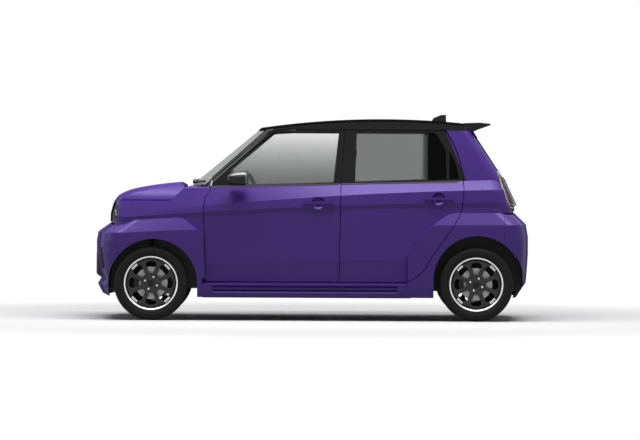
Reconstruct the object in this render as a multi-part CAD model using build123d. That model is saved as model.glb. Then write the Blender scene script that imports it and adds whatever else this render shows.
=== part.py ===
"""Kei car: a small four-door hatchback with box flares, built from separate panels, doors, wheels and gear.

Axes: x runs rearwards, y to the car's right, z up, all in millimetres. The origin is on the ground under the
middle of the car. Left-hand pieces lie at negative y and are mirrored to make the right-hand ones.
"""
from build123d import *
import math
import os

os.makedirs("parts", exist_ok=True)

# ---------------------------------------------------------------- driving sizes
LENGTH = 3395.0
WHEELBASE = 2520.0
FRONT_OVERHANG = 450.0
BODY_WIDTH = 1475.0
FLARE_STAND = 50.0          # how far each box flare stands out of the body side
TRACK = 1370.0
TYRE_RADIUS = 287.0
TYRE_WIDTH = 175.0
RIM_FLANGE_RADIUS = 208.0
RIM_SEAT_RADIUS = 190.0
RIM_WIDTH = 150.0
SHUT_GAP = 6.0              # open line round doors, bonnet and tailgate
FIXED_GAP = 2.0             # line between panels that stay put
SKIN = 30.0                 # depth of a door's outer flange layer
DOOR_THICK = 95.0           # whole door below the belt
FRAME_THICK = 45.0          # door frame and pillars above the belt
PILLAR_DEPTH = 58.0         # depth at which the centre pillar starts
PANEL = 20.0                # fender, bonnet and bumper wall
ROOF_THICK = 18.0
GLASS = 5.0
GLASS_DEPTH = 9.0           # side glass below the outer surface
ARCH_RADIUS = 342.0
WELL_RADIUS = 352.0
FLOOR_TOP = 310.0
FLOOR_THICK = 40.0
STEER_LOCK = 33.0

X_NOSE = -LENGTH / 2
X_TAIL = LENGTH / 2
X_FA = X_NOSE + FRONT_OVERHANG
X_RA = X_FA + WHEELBASE
BODY_HALF = BODY_WIDTH / 2
FLARE_HALF = BODY_HALF + FLARE_STAND
WHEEL_Y = TRACK / 2
FAR = 1200.0                # reach of a cutter past the car's side

# ---------------------------------------------------------------- body outlines
# z at nose, at mid-length, at tail; inset from the body side, from the nose and from the tail
TUB_ROWS = (
    (150, 150, 150, 28, 160, 130),      # under the car
    (300, 300, 303, 14, 118, 95),       # bottom of the doors
    (425, 457, 520, 0, 108, 92),        # lower crease
    (760, 850, 885, 8, 108, 108),       # hollow of the door side
    (800, 885, 925, 0, 108, 128),       # line under the handles
    (826, 955, 1020, 10, 110, 152),     # shoulder crease
    (915, 1003, 1056, 40, 134, 165),    # roll of the nose, in line with the next on the sides
    (1010, 1054, 1094, 72, 210, 178),   # belt
    (1160, 1160, 1160, 217, 330, 240),  # hidden inside the glasshouse
)
TUB_BOW = (60.0, 50.0)                  # how far nose and tail bulge in plan
TUB_CORNER = (140.0, 120.0)
# the same columns; the glasshouse leans in and back, so its nose bow falls from belt to roof
GLASS_ROWS = (
    (900, 900, 900, 60, 560, 90, 160),
    (1026, 1054, 1094, 80, 722, 180, 130),
    (1640, 1640, 1640, 178, 1466, 540, 60),
)
GLASS_TAIL_BOW = 45.0
GLASS_CORNER = (75.0, 90.0)
SIDE_BOW = 12.0
ROOF_APEX = (560.0, 1570.0)
ROOF_LONG_RADIUS = 6500.0
ROOF_CROSS_RADIUS = 6500.0
# box with bumper and flares: z at nose, mid, tail; inset from the flare side and from the nose or tail
NOSE_ROWS = (
    (182, 182, 182, 12, 78),
    (200, 200, 200, 4, 46),
    (272, 272, 272, 0, 10),
    (314, 314, 314, 0, 37),
    (360, 360, 360, 0, 20),
    (527, 527, 527, 0, 0),
    (609, 609, 609, 0, 0),
    (676, 698, 698, 2, 12),
    (775, 795, 795, 53, 150),
    (860, 860, 860, 150, 260),
)
TAIL_ROWS = (
    (182, 182, 182, 10, 90),
    (256, 256, 256, 2, 42),
    (291, 291, 291, 0, 17),
    (379, 379, 379, 0, 8),
    (513, 513, 513, 0, 0),
    (647, 647, 647, 0, 0),
    (744, 744, 748, 2, 17),
    (836, 836, 840, 53, 112),
    (900, 900, 900, 150, 260),
)
BOX_BOW = (85.0, 55.0)
BOX_CORNER = (170.0, 140.0)


def meet(a, ra, b, rb, pick):
    """Point at distance ra from a and rb from b; pick chooses between the two."""
    d = math.dist(a, b)
    t = (ra**2 - rb**2 + d**2) / (2 * d)
    h = math.sqrt(ra**2 - t**2)
    ux, uy = (b[0] - a[0]) / d, (b[1] - a[1]) / d
    return max([(a[0] + t * ux - s * h * uy, a[1] + t * uy + s * h * ux) for s in (1, -1)], key=pick)


def ring(z, half, x_front, x_rear, bow, corner):
    """Closed outline round the body in eight arcs: nose, corners, sides and tail."""
    z_front, z_mid, z_rear = z
    x_mid, reach = (x_front + x_rear) / 2, (x_rear - x_front) / 2
    r_nose = (half**2 + bow[0] ** 2) / (2 * bow[0])
    r_tail = (half**2 + bow[1] ** 2) / (2 * bow[1])
    r_side = (reach**2 + SIDE_BOW**2) / (2 * SIDE_BOW)
    side = (x_mid, half - r_side)

    def arc_corner(centre, radius, r, way):
        p = meet(centre, radius - r, side, r_side - r, lambda q: way * q[0] + q[1])
        ends = []
        for c, big in ((centre, radius), (side, r_side)):
            d = math.dist(c, p)
            ends.append((c[0] + (p[0] - c[0]) / d * big, c[1] + (p[1] - c[1]) / d * big))
        mx, my = (ends[0][0] + ends[1][0]) / 2 - p[0], (ends[0][1] + ends[1][1]) / 2 - p[1]
        m = math.hypot(mx, my)
        return ends[0], (p[0] + mx / m * r, p[1] + my / m * r), ends[1]

    fa, fm, fb = arc_corner((x_front + r_nose, 0), r_nose, corner[0], -1)
    ra, rm, rb = arc_corner((x_rear - r_tail, 0), r_tail, corner[1], 1)

    def arc(p, q, r):
        return Edge.make_three_point_arc(p, q, r)

    def at(p, s, h):
        return (p[0], s * p[1], h)

    edges = [arc(at(fa, -1, z_front), (x_front, 0, z_front), at(fa, 1, z_front))]
    edges.append(arc(at(fa, 1, z_front), at(fm, 1, z_front), at(fb, 1, z_front)))
    edges.append(arc(at(fb, 1, z_front), (x_mid, half, z_mid), at(rb, 1, z_rear)))
    edges.append(arc(at(rb, 1, z_rear), at(rm, 1, z_rear), at(ra, 1, z_rear)))
    edges.append(arc(at(ra, 1, z_rear), (x_rear, 0, z_rear), at(ra, -1, z_rear)))
    edges.append(arc(at(ra, -1, z_rear), at(rm, -1, z_rear), at(rb, -1, z_rear)))
    edges.append(arc(at(rb, -1, z_rear), (x_mid, -half, z_mid), at(fb, -1, z_front)))
    edges.append(arc(at(fb, -1, z_front), at(fm, -1, z_front), at(fa, -1, z_front)))
    return Wire(edges)


def tub(inset=0.0):
    """Lower body up to the belt, drawn in by inset all round."""
    rings = []
    for zf, zm, zr, side, nose, tail in TUB_ROWS:
        rings.append(ring((zf, zm, zr), BODY_HALF - side - inset, X_NOSE + nose + inset, X_TAIL - tail - inset,
                          TUB_BOW, [max(r - inset, 20.0) for r in TUB_CORNER]))
    return Solid.make_loft(rings, ruled=True)


def glasshouse(inset=0.0):
    """Upper body from below the belt to above the roof, drawn in by inset all round."""
    rings = []
    for zf, zm, zr, side, nose, tail, bow in GLASS_ROWS:
        rings.append(ring((zf, zm, zr), BODY_HALF - side - inset, X_NOSE + nose + inset, X_TAIL - tail - inset,
                          (bow, GLASS_TAIL_BOW), [max(r - inset, 12.0) for r in GLASS_CORNER]))
    return Solid.make_loft(rings, ruled=True)


def box(rows, at_nose, inset=0.0):
    """Wide outline of bumper and flares at one end of the car."""
    rings = []
    for zf, zm, zr, side, end in rows:
        nose = X_NOSE + end + inset if at_nose else X_FA + 600
        tail = X_FA + 900 if at_nose else X_TAIL - end - inset
        rings.append(ring((zf, zm, zr), FLARE_HALF - side - inset, nose, tail, BOX_BOW,
                          [max(r - inset, 20.0) for r in BOX_CORNER]))
    return Solid.make_loft(rings, ruled=True)


def under_roof(depth=0.0):
    """Everything under the crowned roof surface, lowered by depth."""
    x0, z0 = ROOF_APEX
    axis_z = z0 - ROOF_LONG_RADIUS
    cross = ROOF_CROSS_RADIUS - depth
    centre = z0 - ROOF_CROSS_RADIUS
    half = 900.0
    edge_z = centre + math.sqrt(cross**2 - half**2)
    low = z0 - 1500.0
    arch = Edge.make_three_point_arc((x0, -half, edge_z), (x0, 0, z0 - depth), (x0, half, edge_z))
    line = Wire([arch, Edge.make_line((x0, half, edge_z), (x0, half, low)),
                 Edge.make_line((x0, half, low), (x0, -half, low)), Edge.make_line((x0, -half, low), (x0, -half, edge_z))])
    axis = Axis((x0, 0, axis_z), (0, 1, 0))
    face = Face(line).rotate(axis, -14)
    return revolve(face, axis, 27)


def wire_of(outline, y=0.0):
    """Closed side-view outline from items of two (x, z) points for a line or three for an arc."""
    edges = []
    for item in outline:
        pts = [(x, y, z) for x, z in item]
        edges.append(Edge.make_line(*pts) if len(pts) == 2 else Edge.make_three_point_arc(*pts))
    return Wire(edges)


def side_prism(outline, grow=0.0, y_from=-FAR, y_to=0.0):
    """Side-view outline, grown all round, pulled across the car between two y values."""
    wire = wire_of(outline, y_from)
    if grow:
        wire = wire.offset_2d(grow, Kind.INTERSECTION)
    return Solid.extrude(Face(wire), Vector(0, y_to - y_from, 0))


def run(points):
    """Outline items for a closed run of straight lines."""
    return [(a, b) for a, b in zip(points, points[1:] + points[:1])]


def side_poly(points, y_from=-FAR, y_to=0.0):
    return side_prism(run(points), 0.0, y_from, y_to)


def long_poly(points, x_from, x_to):
    """Closed (y, z) section pulled along the car."""
    wire = Wire.make_polygon([(x_from, y, z) for y, z in points], close=True)
    return Solid.extrude(Face(wire), Vector(x_to - x_from, 0, 0))


def cyl(axis, centre, radius, length):
    """Round bar centred on a point, lying along an axis."""
    return Plane(centre, z_dir=axis) * Cylinder(radius, length)


def block(x, y, z):
    """Box between pairs of limits."""
    return Pos((x[0] + x[1]) / 2, (y[0] + y[1]) / 2, (z[0] + z[1]) / 2) * Box(x[1] - x[0], y[1] - y[0], z[1] - z[0])


def mirrored(shape):
    return mirror(shape, Plane.XZ)


def both(shape):
    return [shape, mirrored(shape)]


PARTS = {}


def keep(name, *shapes):
    """Writes one node from the solids of the shapes given."""
    solids = [s for shape in shapes for s in shape.solids()]
    PARTS[name] = solids
    export_step(Compound(children=solids) if len(solids) > 1 else solids[0], f"parts/{name}.step")


# ---------------------------------------------------------------- body volumes at a depth below the surface
CACHE = {}


def cached(kind, depth):
    if (kind, depth) not in CACHE:
        CACHE[kind, depth] = {"tub": tub, "house": glasshouse, "roof": under_roof}[kind](depth)
    return CACHE[kind, depth]


def left(kind, depth):
    """Left half of one of those volumes."""
    if ("left", kind, depth) not in CACHE:
        CACHE["left", kind, depth] = cached(kind, depth) & block((-2500, 2500), (-FAR, 0), (-100, 2000))
    return CACHE["left", kind, depth]


def body(tub_depth, house_depth, roof_depth, of=cached):
    """Cabin and lower body as one volume, drawn in below its surface."""
    key = (of, tub_depth, house_depth, roof_depth)
    if key not in CACHE:
        CACHE[key] = of("tub", tub_depth) + (of("house", house_depth) & cached("roof", roof_depth))
    return CACHE[key]


# ---------------------------------------------------------------- side-view outlines, (x, z)
DOOR_BOTTOM = 303.0
DOOR_TOP = 1477.0
WINDOW_TOP = 1462.0
BELT_SLOPE = 0.0364


def belt(x):
    """Height of the waistline."""
    return 1054.0 + BELT_SLOPE * x


FRONT_EDGE = ((-821, DOOR_BOTTOM), (-842, 855), (-830, 946), (-788, 1012), (-776, 1091), (-334, 1465), (-290, 1470), (-180, DOOR_TOP))
FRONT_DOOR = run(list(FRONT_EDGE) + [(246, DOOR_TOP), (218, 1064), (205, DOOR_BOTTOM)])
REAR_DOOR = [
    ((212, DOOR_BOTTOM), (225, 1064)), ((225, 1064), (256, DOOR_TOP)), ((256, DOOR_TOP), (1028, DOOR_TOP)),
    ((1028, DOOR_TOP), (1120, 1300), (1169, 1067)), ((1169, 1067), (1165, 930), (1144, 829)),
    ((1144, 829), (1095, 740)), ((1095, 740), (909, 479)), ((909, 479), (820, 355), (718, DOOR_BOTTOM)),
    ((718, DOOR_BOTTOM), (212, DOOR_BOTTOM)),
]
FRONT_WINDOW = run([(-640, belt(-640) + 8), (-640, 1180), (-312, 1457), (-250, WINDOW_TOP), (208, WINDOW_TOP), (165, belt(165) + 8)])
REAR_WINDOW = run([(331, belt(331) + 8), (343, WINDOW_TOP), (955, WINDOW_TOP), (1036, 1325), (1040, belt(1040) + 8)])
QUARTER_WINDOW = [
    ((1062, belt(1062) + 8), (1062, 1318)), ((1062, 1318), (1112, 1220), (1137, belt(1137) + 8)),
    ((1137, belt(1137) + 8), (1062, belt(1062) + 8)),
]
STEP_GAP = SHUT_GAP + 6.0       # the line widens behind the first few millimetres
HINGE_BACK = 28.0               # hinge pin behind the door's front edge
HINGE_IN = 20.0                 # hinge pin below the skin
HINGE_EYE = 7.0
HINGE_PIN = 4.0
HINGE_TALL = 40.0
PIN_FIT = 0.05
FRONT_HINGE = ((-821 + HINGE_BACK, 303.0), (-842 + HINGE_BACK, 855.0))
REAR_HINGE = ((212 + HINGE_BACK, 303.0), (225 + HINGE_BACK, 1064.0))
HINGE_HEIGHTS = (440.0, 640.0)
HINGE_Y = -(BODY_HALF - HINGE_IN)
FRONT_ARCH = (X_FA + 16.5, 288.0)
REAR_ARCH = (X_RA + 9.5, 321.0)
LINER = 6.0
WELL_IN = 425.0                 # how near the middle the front wheelhouse reaches
REAR_WELL_IN = 560.0
ROOF_EDGE = 556.0
ROOF_REAR = 1165.0
TAILGATE_AXIS = (1180.0, 1530.0)
TAILGATE_HINGE_Y = 330.0
BONNET_AXIS = (-1003.0, 990.0)
BONNET_HINGE_Y = (500.0,)
FRONT_WELL = 346.0              # radius of the front wheelhouse, inside the arch
FRONT_WALL = 894.0              # its flat rear wall, ahead of the axle line of the doors
SPINDLE = 18.0
KINGPIN_FOOT = (-624.0, 200.0)  # lower ball joint, (y, z)
KINGPIN_TOP_Y = -520.0
KINGPIN_TOP_Z = 640.0
KINGPIN_LEAN = (0.0, KINGPIN_TOP_Y - KINGPIN_FOOT[0], KINGPIN_TOP_Z - KINGPIN_FOOT[1])
STRUT_END = 432.0


def KINGPIN_AT(distance, way):
    """Point on the steering axis a distance up from the ball joint; way is -1 on the left."""
    dy, dz = KINGPIN_LEAN[1], KINGPIN_LEAN[2]
    n = math.hypot(dy, dz)
    return (X_FA, -way * (KINGPIN_FOOT[0] + dy * distance / n), KINGPIN_FOOT[1] + dz * distance / n)
TAILGATE_NOSE = 9.0


def hinge_x(line, z):
    (x0, z0), (x1, z1) = line
    return x0 + (x1 - x0) * (z - z0) / (z1 - z0)


# ---------------------------------------------------------------- front end volume with bonnet and fender tops
BONNET_HALF = 622.0
BONNET_CROWN = (-842.0, 1075.0, 2670.0, 5200.0)     # apex x, apex z, radius along, radius across
NOSE_ROUND = (-1389.0, 1017.4, 430.0)               # where the bonnet starts to roll down, and the roll's radius
RAMP = ((-1130.0, 905.0), (-985.0, 1032.0))          # fender rises to the screen pillar


def crown(x0, z0, r_long, r_cross, depth):
    """Everything under a surface crowned both ways."""
    axis_z = z0 - r_long
    half = 900.0
    edge_z = z0 - r_cross + math.sqrt((r_cross - depth) ** 2 - half**2)
    low = z0 - 1300.0
    arch = Edge.make_three_point_arc((x0, -half, edge_z), (x0, 0, z0 - depth), (x0, half, edge_z))
    corners = [(x0, half, edge_z), (x0, half, low), (x0, -half, low), (x0, -half, edge_z)]
    lines = [Edge.make_line(a, b) for a, b in zip(corners, corners[1:])]
    axis = Axis((x0, 0, axis_z), (0, 1, 0))
    return revolve(Face(Wire([arch] + lines)).rotate(axis, -28), axis, 36)


def nose_round(depth):
    """Everything under the roll at the bonnet's front, which starts level with the crown."""
    x1, z1, radius = NOSE_ROUND
    x0, _, r_long, r_cross = BONNET_CROWN
    tilt = math.asin((x0 - x1) / r_long)
    axis_x, axis_z = x1 + radius * math.sin(tilt), z1 - radius * math.cos(tilt)
    half, low, top = 800.0, 60.0, radius - depth
    edge = radius - r_cross + math.sqrt((r_cross - depth) ** 2 - half**2)
    arch = Edge.make_three_point_arc((axis_x, -half, axis_z + edge), (axis_x, 0, axis_z + top), (axis_x, half, axis_z + edge))
    corners = [(axis_x, half, axis_z + edge), (axis_x, half, axis_z + low), (axis_x, -half, axis_z + low), (axis_x, -half, axis_z + edge)]
    lines = [Edge.make_line(a, b) for a, b in zip(corners, corners[1:])]
    roll = revolve(Face(Wire([arch] + lines)), Axis((axis_x, 0, axis_z), (0, 1, 0)), -90)
    return roll + block((-2000, x1), (-900, 900), (0, axis_z + 1)) + block((x1 - 0.5, -700), (-900, 900), (0, 1200))


def shoulder_cut(drop=0.0):
    """What is taken off the left side above the bonnet's rolled edge and the fender's ledge."""
    z = -drop
    p = [(-900, 870 + z), (-BONNET_HALF - 6, 921 + z), (-566, 1018 + z), (-440, 1090 + z)]
    edges = [Edge.make_line((-2000, *p[0]), (-2000, *p[1]))]
    edges.append(Edge.make_three_point_arc((-2000, *p[1]), (-2000, *p[2]), (-2000, *p[3])))
    loop = [p[3], (-440, 1300), (-900, 1300), p[0]]
    edges += [Edge.make_line((-2000, *a), (-2000, *b)) for a, b in zip(loop, loop[1:])]
    cutter = Solid.extrude(Face(Wire(edges)), Vector(1400, 0, 0))
    (x0, z0), (x1, z1) = RAMP
    slope = (z1 - z0) / (x1 - x0)
    reach = 400.0
    ramp = side_poly([(-2100, z0 - 100 - drop), (x0 - 100 / slope, z0 - 100 - drop),
                      (x0 + reach, z0 + reach * slope - drop), (-2100, z0 + reach * slope - drop)], -FAR, 0)
    return cutter & ramp


FLARE_END_POINT = (-1010.0, -BODY_HALF, 795.0)       # where the front flare's ledge starts to fall
FLARE_END_WAY = (0.517, -0.294, 0.804)


def front_body(depth=0.0):
    """Bonnet, fenders and nose as one volume in front of the doors."""
    top = cached("tub", depth) & block((-2000, -700), (-900, 900), (0, 1200)) & crown(*BONNET_CROWN, depth) & nose_round(depth)
    cut = shoulder_cut(depth)
    fall = Plane(FLARE_END_POINT, z_dir=FLARE_END_WAY) * Pos(0, 0, 150 - depth) * Box(900, 900, 300)
    fall = fall & block((-1400, -700), (-900, -1), (560, 1200))
    flare = box(NOSE_ROWS, True, depth) & block((-2000, -700), (-900, 900), (0, 1200))
    return top - cut - mirrored(cut) + (flare - fall - mirrored(fall))


# ---------------------------------------------------------------- shared volumes
STRUCTURE = 100.0               # depth of the fixed body side
FIT = 0.3                       # clearance of a seated piece
LAMP_DEPTH = 34.0
TAILGATE_HALF = 526.0
BUMPER_SPLIT_FRONT = ((-1500, 498), (-1536, 755))
BUMPER_SPLIT_REAR = 1488.0
LEFT = block((-2500, 2500), (-FAR, 0), (-100, 2000))

OUTER = body(0.0, 0.0, 0.0)
OUTER_LEFT = body(0.0, 0.0, 0.0, left)
DOOR_SKIN = OUTER_LEFT - body(SKIN, SKIN, SKIN, left)
DOOR_SLAB = left("tub", SKIN) - left("tub", DOOR_THICK)
FRONT = {depth: front_body(depth) for depth in (0.0, PANEL, PANEL + FIT, 25.0, LAMP_DEPTH)}
TAIL_BOX = box(TAIL_ROWS, False) & block((600, 2000), (-900, 900), (100, 1000))
TAIL_BOX_IN = box(TAIL_ROWS, False, PANEL)
TAIL_BOX_FIT = box(TAIL_ROWS, False, PANEL + FIT) & block((1400, 2000), (-900, 900), (0, 900))


def arch_tool(centre, radius, y_from, y_to, back=None):
    """Round wheel arch with open bottom; back is the x of a straight rear edge."""
    x, z = centre
    length = y_to - y_from
    tool = cyl((0, 1, 0), (x, (y_from + y_to) / 2, z), radius, length)
    return tool + block((x - radius, back or x + radius), (y_from, y_to), (-50, z))


# ---------------------------------------------------------------- doors
def hinge_eye(line, z):
    """Fixed hinge leaf on the pillar with its pin."""
    x = hinge_x(line, z)
    arm = block((x - HINGE_EYE, x + HINGE_EYE), (HINGE_Y, HINGE_Y + 66), (z - HINGE_TALL / 2, z + HINGE_TALL / 2))
    (x0, z0), (x1, z1) = line
    lean = (x1 - x0, 0, z1 - z0)
    return arm + cyl(lean, (x, HINGE_Y, z), HINGE_EYE, HINGE_TALL) + cyl(lean, (x, HINGE_Y, z), HINGE_PIN, HINGE_TALL + 24)


def hinge_pocket(line, z):
    """Room for the leaf in the door, with the pin's bore."""
    x = hinge_x(line, z)
    room = HINGE_EYE + 2.0
    tall = HINGE_TALL / 2 + 3.0
    (x0, z0), (x1, z1) = line
    lean = (x1 - x0, 0, z1 - z0)
    pocket = block((x - 60, x + room + 1), (HINGE_Y - room, HINGE_Y + 60), (z - tall, z + tall))
    return pocket + cyl(lean, (x, HINGE_Y, z), HINGE_PIN + PIN_FIT, HINGE_TALL + 28)


DOOR_SIDE = long_poly([(-900, 150), (-560, 150), (-560, 900), (-618, 1054), (-546, 1490), (-900, 1490)], -1000, 1300)


def door(outline, windows, line, rear_trim=0.0):
    """Door shell: outer flange to the shut line, thicker slab inside it below the belt, windows cut."""
    flange = side_prism(outline)
    skin = DOOR_SKIN & flange
    if rear_trim:
        deep = flange - Pos(-rear_trim, 0, 0) * flange
        skin = skin - (body(4.0, 4.0, 4.0, left) & deep)
    slab = side_prism(outline, -32.0)
    slab = slab & Pos(16, 0, 0) * slab
    under_belt = side_poly([(-1000, 200), (-1000, belt(-1000)), (1300, belt(1300)), (1300, 200)])
    slab = DOOR_SLAB & (slab & under_belt)
    out = (skin + slab) & DOOR_SIDE
    for z in HINGE_HEIGHTS:
        out = out - hinge_pocket(line, z)
    for window in windows:
        out = out - side_prism(window)
    return out


def door_glass(windows):
    layer = (left("house", GLASS_DEPTH) - left("house", GLASS_DEPTH + GLASS)) & DOOR_SIDE
    return [layer & side_prism(window, -FIT) for window in windows]


def handle(x_from, x_to, z, y):
    """Pull handle: bar on two feet."""
    bar = block((x_from, x_to), (y - 34, y - 20), (z - 11, z + 11))
    feet = [block((x, x + 36), (y - 22, y + 12), (z - 9, z + 9)) for x in (x_from + 8, x_to - 44)]
    return bar + feet[0] + feet[1]


def cup(x_from, x_to, z, y):
    """Finger room behind a handle's bar."""
    return Pos((x_from + x_to) / 2, y - 42, z - 4) * Sphere(62)


FLARE_CREASE = [(740, 150), (741, 495), (795, 592), (868, 685), (945, 744), (1040, 830), (1800, 990), (1800, 150)]
FLARE_FOOT = [(727, 150), (731, 487), (776, 576), (831, 661), (927, 751), (1056, 828), (1800, 990), (1800, 150)]


def flare_wedge():
    """Limits of the rear flare: its front bevel runs from the crease out at the edge to the foot at the skin."""
    rings = []
    for y, points in ((-FLARE_HALF - 8, FLARE_CREASE), (-BODY_HALF + 6, FLARE_FOOT), (-600, FLARE_FOOT)):
        rings.append(Wire.make_polygon([(x, y, z) for x, z in points], close=True))
    return Solid.make_loft(rings, ruled=True)


REAR_FLARE = (TAIL_BOX & LEFT) & flare_wedge()
FRONT_HANDLE = (-76, 166, 914, -722)
REAR_HANDLE = (862, 1096, 950, -716)
front_door = door(FRONT_DOOR, [FRONT_WINDOW], FRONT_HINGE, 6.0) - cup(*FRONT_HANDLE) + handle(*FRONT_HANDLE)
rear_door = door(REAR_DOOR, [REAR_WINDOW, QUARTER_WINDOW], REAR_HINGE) - cup(*REAR_HANDLE)
flare_part = REAR_FLARE & side_prism(REAR_DOOR) & block((700, 1200), (-FAR, -BODY_HALF + 12), (150, 900))
rear_door = rear_door + (flare_part - left("tub", 6.0)) + handle(*REAR_HANDLE)

# ---------------------------------------------------------------- fixed body sides
def aperture(outline):
    """Opening through the inner structure, smaller than the door and well back of its hinge edge."""
    inner = side_prism(outline, -20.0)
    return inner & Pos(18, 0, 0) * inner


SKIRT_FRONT = -851.0


def skirt():
    """Sill skirt: ledge, hollow and lower blade between solid ends."""
    section = [(-700, 294), (-770, 289), (-782, 284), (-782, 272), (-748, 258), (-748, 238), (-772, 226), (-778, 216),
               (-770, 184), (-760, 178), (-640, 178), (-640, 294)]
    whole = long_poly(section, SKIRT_FRONT, 760)
    ends = []
    for x0, x1 in ((SKIRT_FRONT, -770), (660, 760)):
        ends.append(long_poly([(-740, 289), (-782, 284), (-778, 216), (-740, 216)], x0, x1))
    return whole + ends[0] + ends[1]


PILLAR_IN = body(PILLAR_DEPTH, 36.0, 36.0, left)
STRUCTURE_IN = body(STRUCTURE, 60.0, 60.0, left)
SCREEN_SIDE = [(-575, 1040), (-500, 1484), (0, 1484), (0, 1040)]


def side_frame():
    gap = 10.0
    doors = [side_prism(outline, SHUT_GAP) for outline in (FRONT_DOOR, REAR_DOOR)]
    doors.append(side_prism(REAR_DOOR, gap) & block((990, 1300), (-FAR, 0), (1120, 1600)))
    outer_layer = (OUTER_LEFT - PILLAR_IN) & block((-1200, 1700), (-FAR, -500), (182, 1700))
    outer_layer = outer_layer - block((-1500, -700), (-FAR, 0), (0, 1022))
    for tool in doors:
        outer_layer = outer_layer - tool
    inner_layer = (PILLAR_IN - STRUCTURE_IN) & block((-870, 1700), (-FAR, -500), (182, 1700))
    inner_layer = inner_layer - aperture(FRONT_DOOR) - aperture(REAR_DOOR)
    frame = outer_layer + inner_layer
    frame = frame - block((-1500, -870), (-FAR, 0), (0, 1022))
    frame = frame - long_poly(SCREEN_SIDE, -1300, 200)
    frame = frame - (block((-600, ROOF_REAR + 1), (-ROOF_EDGE - 1, 0), (1400, 1700)) - cached("roof", ROOF_THICK + FIT))
    frame = frame - (left("tub", -0.8) & block((-1500, -776), (-FAR, 0), (1000, 1200)))
    return frame


LAMP_SIDE = run([(1380, 1300), (1433, 1216), (1446, 1088), (1547, 850), (1720, 850), (1720, 1300)])
BUMPER_TOP = 838.0
TAILGATE_BOTTOM = 856.0
rear_well = arch_tool(REAR_ARCH, WELL_RADIUS, -FLARE_HALF + 22, -REAR_WELL_IN)
rear_mouth = arch_tool(REAR_ARCH, ARCH_RADIUS, -FAR, -REAR_WELL_IN)
rear_liner = (arch_tool(REAR_ARCH, WELL_RADIUS + LINER, -FLARE_HALF + 24, -REAR_WELL_IN + LINER)
              & block((900, 1800), (-FAR, 0), (230, 900)))
behind_gap = BUMPER_SPLIT_REAR - 0.8
tail_cut = block((behind_gap, 1800), (-FAR, 0), (0, BUMPER_TOP + 4)) + block((1350, 1800), (-TAILGATE_HALF - 6, 0), (700, 1700))
tail_cut = tail_cut + (block((ROOF_REAR, 1700), (-TAILGATE_HALF - 6, 0), (1200, 1700)))
tail_cut = tail_cut + block((1350, 1800), (-REAR_WELL_IN, 0), (0, 838))
quarter_flare = REAR_FLARE - side_prism(REAR_DOOR, SHUT_GAP) - TAIL_BOX_IN
quarter_flare = quarter_flare & block((700, behind_gap), (-FAR, -BODY_HALF + 30), (150, 900))
rear_lamp = (OUTER_LEFT - body(LAMP_DEPTH, LAMP_DEPTH, LAMP_DEPTH, left)) & side_prism(LAMP_SIDE) & block((1300, 1800), (-FAR, -TAILGATE_HALF - 6), (800, 1300))
lamp_room = side_prism(LAMP_SIDE, 1.0) & (block((1300, 1800), (-FAR, 0), (800, 1300)) - body(LAMP_DEPTH + FIT, LAMP_DEPTH + FIT, LAMP_DEPTH, left))
left_side = side_frame() + skirt() + quarter_flare - tail_cut - lamp_room
left_side = left_side + (rear_liner & left("tub", 8.0)) + (rear_liner & TAIL_BOX_FIT) - rear_mouth - rear_well
left_side = left_side - block((X_RA - 60, X_RA + 60), (-REAR_WELL_IN - 2, -REAR_WELL_IN + 20), (200, 380))
for line in (FRONT_HINGE, REAR_HINGE):
    for z in HINGE_HEIGHTS:
        left_side = left_side + hinge_eye(line, z)

# ---------------------------------------------------------------- roof, screen, tailgate
roof = (OUTER - cached("roof", ROOF_THICK)) & block((-700, ROOF_REAR), (-ROOF_EDGE, ROOF_EDGE), (1300, 1700))
roof = roof & side_poly([(-431, 1478), (-380, 1436), (-380, 1300), (1300, 1300), (1300, 1700), (-800, 1700)], -FAR, FAR)
aerial = loft([Pos(990, 0, 1540) * Rectangle(126, 44), Pos(1002, 0, 1582) * Rectangle(98, 22), Pos(1032, 0, 1606) * Rectangle(38, 8)], ruled=True)
roof = roof - block((-700, -250), (-503, 503), (1300, 1474.8)) + aerial
ax, az = TAILGATE_AXIS
tailgate_pockets = []
for y in (-TAILGATE_HINGE_Y, TAILGATE_HINGE_Y):
    leaf = block((ROOF_REAR - 20, ax), (y - 6, y + 6), (az - 6, az + 3))
    eye = cyl((0, 1, 0), (ax, y, az), TAILGATE_NOSE, 12)
    roof = roof + leaf + eye + cyl((0, 1, 0), (ax, y, az), HINGE_PIN, 34)
    pocket = block((ax - 20, ax), (y - 8, y + 8), (az - 8, az + 8)) + cyl((0, 1, 0), (ax, y, az), TAILGATE_NOSE + 2, 16)
    tailgate_pockets.append(pocket + cyl((0, 1, 0), (ax, y, az), HINGE_PIN + PIN_FIT, 36))
screen_layer = cached("house", 6.0) - cached("house", 11.0)
SCREEN_FACE = [(-574, 1046), (-500.5, 1474), (500.5, 1474), (574, 1046)]
windscreen = screen_layer & long_poly(SCREEN_FACE, -1300, 0) & side_poly([(-1100, 1046), (-440, 1474), (-100, 1474), (-100, 1046)], -FAR, FAR)

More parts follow.
